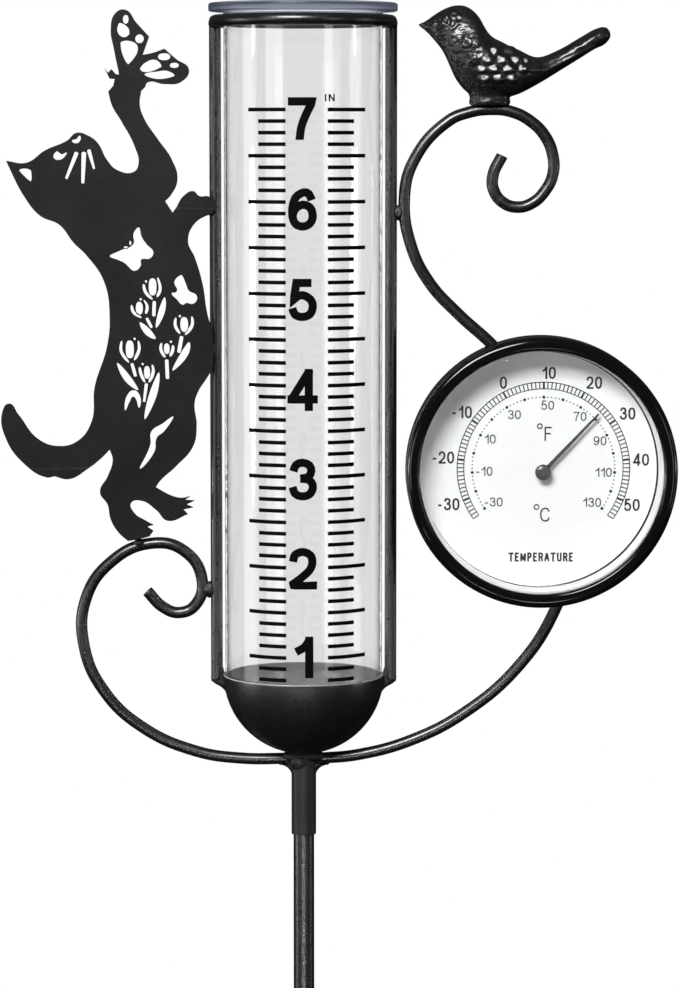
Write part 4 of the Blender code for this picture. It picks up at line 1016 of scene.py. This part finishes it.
def make_dial_print():
    """Two temperature scales, their numbers, the plain words on the dial, and a painted shadow line round the
    print's edge.
    """
    sweep = 45 * TURN_PER_C
    black_ink_and_shadow = []
    for inner, outer in SCALE_ARCS:
        black_ink_and_shadow += ring_quads(inner, outer, 90 - sweep, 90 + sweep, 120)
    for celsius in range(-35, 56):
        ends = [Vector(polar(radius, (celsius - 10) * TURN_PER_C)) for radius in (21.9, 23.7)]
        black_ink_and_shadow += stroke_quads(ends, 0.55 if celsius % 10 == 0 else 0.29)
    for fahrenheit in range(-30, 131, 2):
        turn = (fahrenheit - 50) * TURN_PER_C / 1.8
        black_ink_and_shadow.append(disc(polar(DOTS_R, turn), 0.42 if fahrenheit % 10 == 0 else 0.19))
    for number, spot in CELSIUS_AT.items():
        black_ink_and_shadow += lettering(str(number), spot, 3.45, 0.52, width=0.84, spacing=0.26)
    black_ink_and_shadow += lettering("TEMPERATURE", (-0.6, -24.55), 2.5, 0.46, width=0.86, spacing=0.36)
    for letter, x, z in (("F", 1.26, 9.5), ("C", 0.47, -12.8)):
        black_ink_and_shadow += lettering(letter, (x, z), 3.9, 0.4)
        black_ink_and_shadow += ring_quads(0.48, 0.82, 0, 360, 24, (x - 2.3, z + 2.1))
    # Painted shadow: a dark line in the black ink where the white ring meets the dial plate, thickest toward
    # the lower right and fading out toward the upper left, standing in for the ring edge's shade
    black_ink_and_shadow += crescent_quads(PRINT_R - 0.2, 0.5, -22.0, 180, (DIAL_X - PRINT_X, DIAL_Z - PRINT_Z))
    grey = []
    for number, spot in FAHRENHEIT_AT.items():
        grey += lettering(str(number), spot, 2.55, 0.32, width=0.93, spacing=0.26)
    printed("dial_print", black_ink_and_shadow, on_dial, "dial_ink", "head")
    printed("dial_print_fahrenheit", grey, on_dial, "dial_ink_grey", "head")


# ---------------------------------------------------------------- thermometer

def make_thermometer():
    """Bezel, case, inner ring, dial plate and lens."""
    dial = (DIAL_X, DIAL_Z)
    front = -BEZEL_LOW.y
    skirt = -BEZEL_HIGH.y
    lip = 19.3
    skirt_inner = CASE_R + 0.3
    bezel = [(skirt_inner, skirt), (BEZEL_R - 0.5, skirt)]
    bezel += arc((BEZEL_R - 0.6, skirt + 0.6), 0.6, -80, 0, 4)
    bezel += arc((BEZEL_R - 1.8, front - 1.8), 1.8, 0, 90, 14)
    bezel += arc((BEZEL_INNER_R + 1.0, front - 1.0), 1.0, 90, 180, 8)
    bezel += arc((BEZEL_INNER_R + 0.6, lip + 0.6), 0.6, 180, 270, 5)
    bezel.append((skirt_inner, lip))
    place(turned_mesh("bezel_fine", bezel, 192, dial), "bezel_plastic", "head", "bezel_ring")

    back = -CASE_HIGH.y
    rim = -CASE_LOW.y
    inner = CASE_R - 1.3
    case = [(0.0, back), (CASE_R - 1.5, back)] + arc((CASE_R - 1.5, back + 1.5), 1.5, -75, 0, 8)
    case += [(CASE_R, rim - 0.2), (CASE_R - 0.2, rim), (inner, rim), (inner, back + 1.6), (0.0, back + 1.6)]
    place(turned_mesh("case_fine", case, 160, dial), "case_plastic", "head", "thermometer_case")

    low = -INNER_HIGH.y
    high = -INNER_LOW.y
    outer = (INNER_HIGH.x - INNER_LOW.x) / 2
    ring = [(PRINT_R, low), (outer, low), (outer, high), (BEZEL_INNER_R - 0.2, high)]
    place(turned_mesh("inner_ring_fine", softened(ring, 0.12, 2), 192, dial), "white_plastic", "head",
          "inner_ring")

    low = -PLATE_HIGH.y
    high = -PLATE_LOW.y
    plate = [(0.0, low), (outer, low), (outer, high), (0.0, high)]
    face = place(turned_mesh("dial_plate_fine", softened(plate, 0.08, 2), 160, dial), "dial_face", "head",
                 "dial_plate")
    hole = [(0.0, low - 2.0), (1.8, low - 2.0), (1.8, high + 2.0), (0.0, high + 2.0)]
    carve(face, turned_mesh("hole", hole, 48, (PIVOT_X, PIVOT_Z)))

    low = -LENS_HIGH.y
    high = -LENS_LOW.y
    crown = 4.4
    lens = [(0.0, low)] + [(radius, low) for radius in even(0.0, CASE_R, 8, range(1, 9))]
    lens += arc((LENS_FLAT_R, high - crown), crown, 60, 90, 14)
    lens += [(radius, high) for radius in even(0.0, LENS_FLAT_R, 8, range(7, -1, -1))]
    place(turned_mesh("lens_fine", lens, 192, dial), "lens_glass", "head", "lens")


def make_pointer():
    """Pointer with rounded edges, and its domed cap."""
    low = -POINTER_HIGH.y
    high = -POINTER_LOW.y
    half_root = 0.55
    half_tip = 0.28
    eye = 2.0
    start = math.degrees(math.asin(half_root / eye))
    outline = arc((0.0, 0.0), eye, 90 + start, 450 - start, 48)
    outline += [(half_tip, POINTER_REACH - 0.3), (0.0, POINTER_REACH), (-half_tip, POINTER_REACH - 0.3)]
    turn = Matrix.Rotation(-math.radians(POINTER_ANGLE), 2)
    corners = []
    for point in outline:
        spot = turn @ Vector(point)
        corners.append(Vector((PIVOT_X + spot.x, -low, PIVOT_Z + spot.y)))
    mesh = extruded_mesh("pointer_fine", corners, Vector((0.0, low - high, 0.0)))
    bevel(place(mesh, "pointer_paint", "pointer", "pointer"), 0.1, 2)

    foot = 0.35 - CAP_HIGH.y
    dome = -CAP_LOW.y - foot
    radius = (CAP_HIGH.x - CAP_LOW.x) / 2
    cap = [(0.0, -CAP_HIGH.y), (radius, -CAP_HIGH.y), (radius, foot)]
    for angle in range(10, 90, 10):
        cap.append((radius * math.cos(math.radians(angle)), foot + dome * math.sin(math.radians(angle))))
    cap.append((0.0, -CAP_LOW.y))
    place(turned_mesh("pointer_cap_fine", cap, 64, (PIVOT_X, PIVOT_Z)), "pointer_paint", "pointer",
          "pointer_cap")


def make_clips():
    """Saddle clips behind the thermometer, with cross-head screws."""
    round_back = SCROLL_R + 0.3
    sheet = 1.0
    ear = 9.0
    length = 7.0
    outer = round_back + sheet
    ear_front = round_back - 0.3
    ear_back = ear_front - sheet
    corner = math.degrees(math.asin(ear_back / outer))
    inner_corner = math.degrees(math.asin(ear_front / round_back))
    outline = [(-ear, ear_back)] + arc((0.0, 0.0), outer, 180 - corner, 360 + corner, 32)
    outline += [(ear, ear_back), (ear, ear_front)]
    outline += arc((0.0, 0.0), round_back, inner_corner, -180 - inner_corner, 32)
    outline.append((-ear, ear_front))
    number = 0
    for where, degrees in CLIP_ANGLES.items():
        x, z = arc_point(degrees)
        across = Vector((math.cos(math.radians(degrees)), 0.0, math.sin(math.radians(degrees))))
        along = Vector((-across.z, 0.0, across.x))
        centre = Vector((x, 0.0, z))
        corners = [centre + across * u + Vector((0.0, -v, 0.0)) - along * length / 2 for u, v in outline]
        mesh = extruded_mesh("rod_clip_" + where + "_fine", corners, along * length)
        bevel(place(mesh, "powder_coat", "head", "rod_clip_" + where), 0.15, 2)
        for side in (-6.2, 6.2):
            number += 1
            make_screw("clip_screw_%d" % number, centre + across * side, ear_back - 0.3)


def make_screw(node, centre, seat):
    """Cross-head screw whose head stands behind the clip."""
    radius = 1.9
    crown = seat - 1.3
    profile = [(0.0, crown), (radius * 0.55, crown + 0.05), (radius * 0.85, crown + 0.35),
               (radius, crown + 0.8), (radius, seat), (0.95, seat), (0.95, 4.6), (0.75, 5.0), (0.0, 5.0)]
    mesh = turned_mesh(node + "_fine", softened(profile, 0.08, 2), 48, (centre.x, centre.z))
    screw = place(mesh, "screw_steel", "head", node)
    cross = bmesh.new()
    for wide, tall in ((1.9, 0.42), (0.42, 1.9)):
        for vertex in bmesh.ops.create_cube(cross, size=1.0)["verts"]:
            taper = 0.75 if vertex.co.y < 0 else 1.0
            spot = Vector((vertex.co.x * wide * taper, vertex.co.y * 1.6, vertex.co.z * tall * taper))
            vertex.co = (spot + Vector((centre.x, -crown - 0.1, centre.z))) * MM
    carve(screw, finished("cross", cross))


# ---------------------------------------------------------------- cat

def add_spline(curve, spots, sharp, steps):
    """Add one closed line through (x, z) spots to a flat curve; the sharp ones are corners."""
    spline = curve.splines.new("BEZIER")
    spline.resolution_u = steps
    spline.bezier_points.add(len(spots) - 1)
    for knot, spot, corner in zip(spline.bezier_points, spots, sharp):
        knot.co = (spot[0] * MM, spot[1] * MM, 0.0)
        knot.handle_left_type = "VECTOR" if corner else "AUTO"
        knot.handle_right_type = knot.handle_left_type
    spline.use_cyclic_u = True


def add_cut(curve, rows, steps=6):
    """Add one cut-out to a flat curve. Each row starts at a corner. The knots are moved outwards
    by CUT_GROW, and each corner is split into two rounded ones."""
    knots = [Vector(point) for row in rows for point in row]
    sharp = [index == 0 for row in rows for index in range(len(row))]
    count = len(knots)
    area = sum(knots[i - 1].x * knots[i].y - knots[i].x * knots[i - 1].y for i in range(count))
    moved = []
    for index, spot in enumerate(knots):
        along = (knots[(index + 1) % count] - knots[index - 1]).normalized()
        outward = Vector((along.y, -along.x)) * math.copysign(CUT_GROW, area)
        spread = (-CUT_CORNER, CUT_CORNER) if sharp[index] else (0.0,)
        moved += [spot + outward + along * step for step in spread]
    add_spline(curve, moved, [False] * len(moved), steps)


def add_oval(curve, centre, half_width, half_height):
    """Add one round cut-out to a flat curve."""
    spots = [(centre[0] + x * half_width, centre[1] + z * half_height)
             for x, z in ((1, 0), (0, 1), (-1, 0), (0, -1))]
    add_spline(curve, spots, [False] * 4, 6)


def add_slot(curve, start, start_width, end, end_width):
    """Add one straight cut-out that tapers from start to end."""
    along = (Vector(end) - Vector(start)).normalized()
    across = Vector((-along.y, along.x)) / 2
    add_cut(curve, [[Vector(middle) + across * width]
                    for middle, width in ((start, start_width), (start, -start_width),
                                          (end, -end_width), (end, end_width))])


def add_tulip(curve, centre, size, left, right, dot):
    """Add a tulip: the middle petal, two side petals and a dot."""
    middle = Vector(centre)
    add_oval(curve, centre, *size)
    for first, bulge, last in (left, right):
        inner_bulge = (bulge[0] + math.copysign(PETAL_WIDTH, -bulge[0]), bulge[1] + 0.3)
        add_cut(curve, [[middle + Vector(corner), middle + Vector(side)]
                        for corner, side in ((first, bulge), (last, inner_bulge))])
    add_oval(curve, middle + Vector(dot), TULIP_DOT_R, TULIP_DOT_R)


def make_cat():
    """Cat cut from sheet, with rounded edges, and the welds that hold it."""
    curve = bpy.data.curves.new("cat_fine", "CURVE")
    curve.dimensions = "2D"
    curve.fill_mode = "BOTH"
    curve.extrude = ((CAT_HIGH.y - CAT_LOW.y) / 2 - CAT_EDGE) * MM
    curve.bevel_depth = CAT_EDGE * MM
    curve.bevel_resolution = 2
    curve.offset = -CAT_EDGE * MM
    add_spline(curve, [point for row in CAT_OUTLINE for point in row],
               [index == 0 for row in CAT_OUTLINE for index in range(len(row))], 10)
    for rows in CAT_CUTS:
        add_cut(curve, rows, 7)
    for oval in CAT_OVALS:
        add_oval(curve, *oval)
    for slot in CAT_SLOTS:
        add_slot(curve, *slot)
    for tip, one_side, foot, other_side in CAT_LEAVES:
        add_cut(curve, [[tip, one_side], [foot, other_side]], 7)
    for tulip in CAT_TULIPS:
        add_tulip(curve, *tulip)
    mesh = curve_mesh(curve)
    upright = Matrix.Rotation(math.radians(90), 4, "X")
    upright.translation.y = (CAT_LOW.y + CAT_HIGH.y) / 2 * MM
    mesh.transform(upright)
    place(mesh, "sheet_coat", "head", "cat_silhouette", angle=40.0)
    for face in mesh.polygons:
        face.use_smooth = abs(face.normal.y) < 0.98
    for number, (x, z, half_height) in enumerate(CAT_WELDS, start=1):
        bead("cat_weld_%d" % number, (x, -0.9, z), (1.5, 1.3, half_height), "head", seed=number * 9.0)


# ---------------------------------------------------------------- bird

def between(stations, values, x):
    """Smooth interpolation of a bird measure at x."""
    spots = np.array(stations)
    heights = np.array(values)
    slopes = np.gradient(heights, spots)
    right = int(np.clip(np.searchsorted(spots, x), 1, len(spots) - 1))
    left = right - 1
    span = spots[right] - spots[left]
    t = (x - spots[left]) / span
    return ((2 * t ** 3 - 3 * t ** 2 + 1) * heights[left] + (t ** 3 - 2 * t ** 2 + t) * span * slopes[left]
            + (3 * t ** 2 - 2 * t ** 3) * heights[right] + (t ** 3 - t ** 2) * span * slopes[right])


def body_section(x):
    """Heights of the plain body's back and belly at x, and its half width there."""
    stations = [row[0] for row in BIRD_SECTIONS]
    back, belly, half_width = (between(stations, [row[index] for row in BIRD_SECTIONS], x)
                               for index in (1, 2, 3))
    return back, belly, half_width * BIRD_FULLNESS


def body_depth(x, z):
    """Half thickness of the plain body at a point of its side view."""
    back, belly, half_width = body_section(x)
    up = (2.0 * z - back - belly) / (back - belly)
    return half_width * math.sqrt(max(0.0, 1.0 - up * up))


def hump(along, across, half_length, half_width):
    """Soft flat-topped hump, 1 in its middle."""
    return math.exp(-((along / half_length) ** 2 + (across / half_width) ** 2) ** 2.5)


def bell(x, z, half_x, half_z):
    """Soft bell, 1 in its middle."""
    return math.exp(-((x / half_x) ** 2 + (z / half_z) ** 2))


def relief(x, z):
    """How far the casting stands proud at a point of the bird's side."""
    wing = hump((x - 54.6) + 0.2 * (z - 492.8), (z - 492.8) + 0.12 * (x - 54.6), 9.6, 6.6)
    height = 0.35 * wing
    for row_z, feathers in FEATHERS.items():
        for middle, half_length in feathers:
            along = x - middle
            share = hump(along, z - row_z + 0.16 * along, half_length, 1.12)
            if share > 0.001:
                flat = body_depth(middle, row_z) + FEATHER_RISE + FEATHER_LEAN_X * along
                flat += FEATHER_LEAN_Z * (z - row_z)
                height += share * (flat - body_depth(x, z) - height)
    for middle_x, middle_z, half_length, half_width, rise in BIRD_SWELLS:
        height += rise * hump(x - middle_x, z - middle_z, half_length, half_width)
    if x > TAIL_X:
        share = min(1.0, (x - TAIL_X) / 4.0, max(0.0, 82.0 - x) / 3.0)
        ridge = 492.0 + (x - 66.8) * 0.503
        height += share * 0.4 * math.exp(-((z - ridge) / 0.45) ** 2)
    eye = math.hypot(x - 40.2, z - 505.0)
    height += 0.4 * math.exp(-(eye / 0.75) ** 2) + 0.12 * math.exp(-((eye - 1.9) / 0.45) ** 2)
    lumps = 0.5 * bell(x - 38.6, z - 504.8, 4.2, 3.2) + 0.2 * bell(x - 44.5, z - 498.0, 3.6, 5.0) + 0.08
    return height + lumps * noise.noise(Vector((x * 0.75, z * 0.95, 3.0)))


def make_bird():
    """Cast bird: smooth body and perch made one skin, then the relief pressed into it."""
    body = bmesh.new()
    rings = []
    for x in even(BIRD_SECTIONS[0][0], BIRD_SECTIONS[-1][0], 130, range(131)):
        back, belly, half_width = body_section(x)
        ring = []
        for side in range(56):
            angle = math.tau * side / 56
            z = (back + belly) / 2 + (back - belly) / 2 * math.sin(angle)
            ring.append(body.verts.new(Vector((x, half_width * math.cos(angle), z)) * MM))
        rings.append(ring)
    skin(body, rings)
    rings = []
    for z, half_length, half_depth in PERCH_LEVELS:
        ring = []
        for side in range(40):
            angle = math.tau * side / 40
            spot = Vector((PERCH_X + half_length * math.cos(angle), half_depth * math.sin(angle), z))
            ring.append(body.verts.new(spot * MM))
        rings.append(ring)
    skin(body, rings)
    bmesh.ops.recalc_face_normals(body, faces=body.faces)
    bird = place(finished("bird_fine", body), "cast_coat", "head", "bird", angle=80.0)
    remesh = bird.modifiers.new("remesh", "REMESH")
    remesh.mode = "VOXEL"
    remesh.voxel_size = 0.26 * MM
    relax = bird.modifiers.new("relax", "SMOOTH")
    relax.factor = 0.5
    relax.iterations = 5
    bpy.context.view_layer.update()
    apply_modifiers(bird)
    moves = []
    for vertex in bird.data.vertices:
        x, y, z = vertex.co / MM
        side = min(1.0, abs(vertex.normal.y) * 1.4)
        moves.append(vertex.normal * (relief(x, z) - 0.1) * side * MM)
    for vertex, move in zip(bird.data.vertices, moves):
        vertex.co += move
    bird.data.shade_smooth()


# ---------------------------------------------------------------- hidden pieces that keep their CAD shape

def dress_cad_nodes():
    """Finish and soften the pieces inside the thermometer, whose CAD shape is right."""
    for node, finish in HIDDEN_FINISHES.items():
        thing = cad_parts[node]
        thing.data.materials.clear()
        thing.data.materials.append(MATERIALS[finish])
        weld = thing.modifiers.new("join", "WELD")
        weld.merge_threshold = 0.00001
        bevel(thing, 0.06, 2)


# ---------------------------------------------------------------- stage

def add_lamp(name, kind, spot, target, power, **shape):
    """Lamp at a spot, turned to face a point."""
    lamp = bpy.data.lights.new(name, kind)
    lamp.energy = power
    for setting, value in shape.items():
        setattr(lamp, setting, value)
    made = bpy.data.objects.new(name, lamp)
    made.location = spot
    made.rotation_euler = (Vector(target) - made.location).to_track_quat("-Z", "Y").to_euler()
    bpy.context.collection.objects.link(made)


def make_floor():
    """Round pale floor under the spike, dark to all rays but those that show it."""
    surface = bmesh.new()
    bmesh.ops.create_circle(surface, cap_ends=True, segments=96, radius=1.25)
    floor = bpy.data.objects.new("floor", finished("floor", surface))
    floor.location.z = CAD_BOUNDS[0].z - 0.001
    tree, shader = principled("floor_paper", (0.9, 0.9, 0.89), 0.7)
    feed(tree, shader, {"Roughness": vary(tree, noise_node(tree, 8.0), 0.65, 0.8)})
    dark = add_node(tree, "BsdfDiffuse", {"Color": (0.03, 0.03, 0.03, 1.0)})
    by_ray(tree, "Material Output", SHOWN_BY, shader, dark)
    floor.data.materials.append(MATERIALS["floor_paper"])
    bpy.context.collection.objects.link(floor)


def make_stage():
    """White backdrop, a dim room for reflections, soft studio lights, and the camera."""
    make_floor()
    world = bpy.data.worlds.new("studio")
    bpy.context.scene.world = world
    world.use_nodes = True
    tree = world.node_tree
    backdrop = feed(tree, tree.nodes["Background"], {"Color": (1.0, 1.0, 1.0, 1.0)})
    axes = add_node(tree, "SeparateXYZ", {0: add_node(tree, "TexCoord").outputs["Generated"]})
    brightness = vary(tree, axes.outputs["Z"], ROOM_LOW, ROOM_HIGH, -0.4, 0.9)
    room = add_node(tree, "Background", {"Color": (0.96, 0.98, 1.0, 1.0), "Strength": brightness})
    by_ray(tree, "World Output", SHOWN_BY, backdrop, room)

    for name, spot, target, (wide, tall), radiance in LAMPS:
        add_lamp(name, "AREA", spot, target, radiance * math.pi * wide * tall,
                 shape="RECTANGLE", size=wide, size_y=tall)
    for name, spot, target, radius, cone, radiance in SNOOTS:
        add_lamp(name, "SPOT", spot, target, radiance * (2.0 * math.pi * radius) ** 2,
                 shadow_soft_size=radius, spot_size=math.radians(cone), spot_blend=0.5)

    lens = bpy.data.cameras.new("camera")
    lens.lens = CAMERA_LENS
    camera = bpy.data.objects.new("camera", lens)
    camera.location = CAMERA_PLACE
    camera.rotation_euler = (math.radians(90 - CAMERA_DOWN), 0.0, 0.0)
    bpy.context.collection.objects.link(camera)
    bpy.context.scene.camera = camera
    bpy.context.scene.view_settings.view_transform = "Standard"


make_stage()
make_stake()
make_frame()
make_tube()
make_scale()
make_thermometer()
make_pointer()
make_dial_print()
make_clips()
make_cat()
make_bird()
dress_cad_nodes()
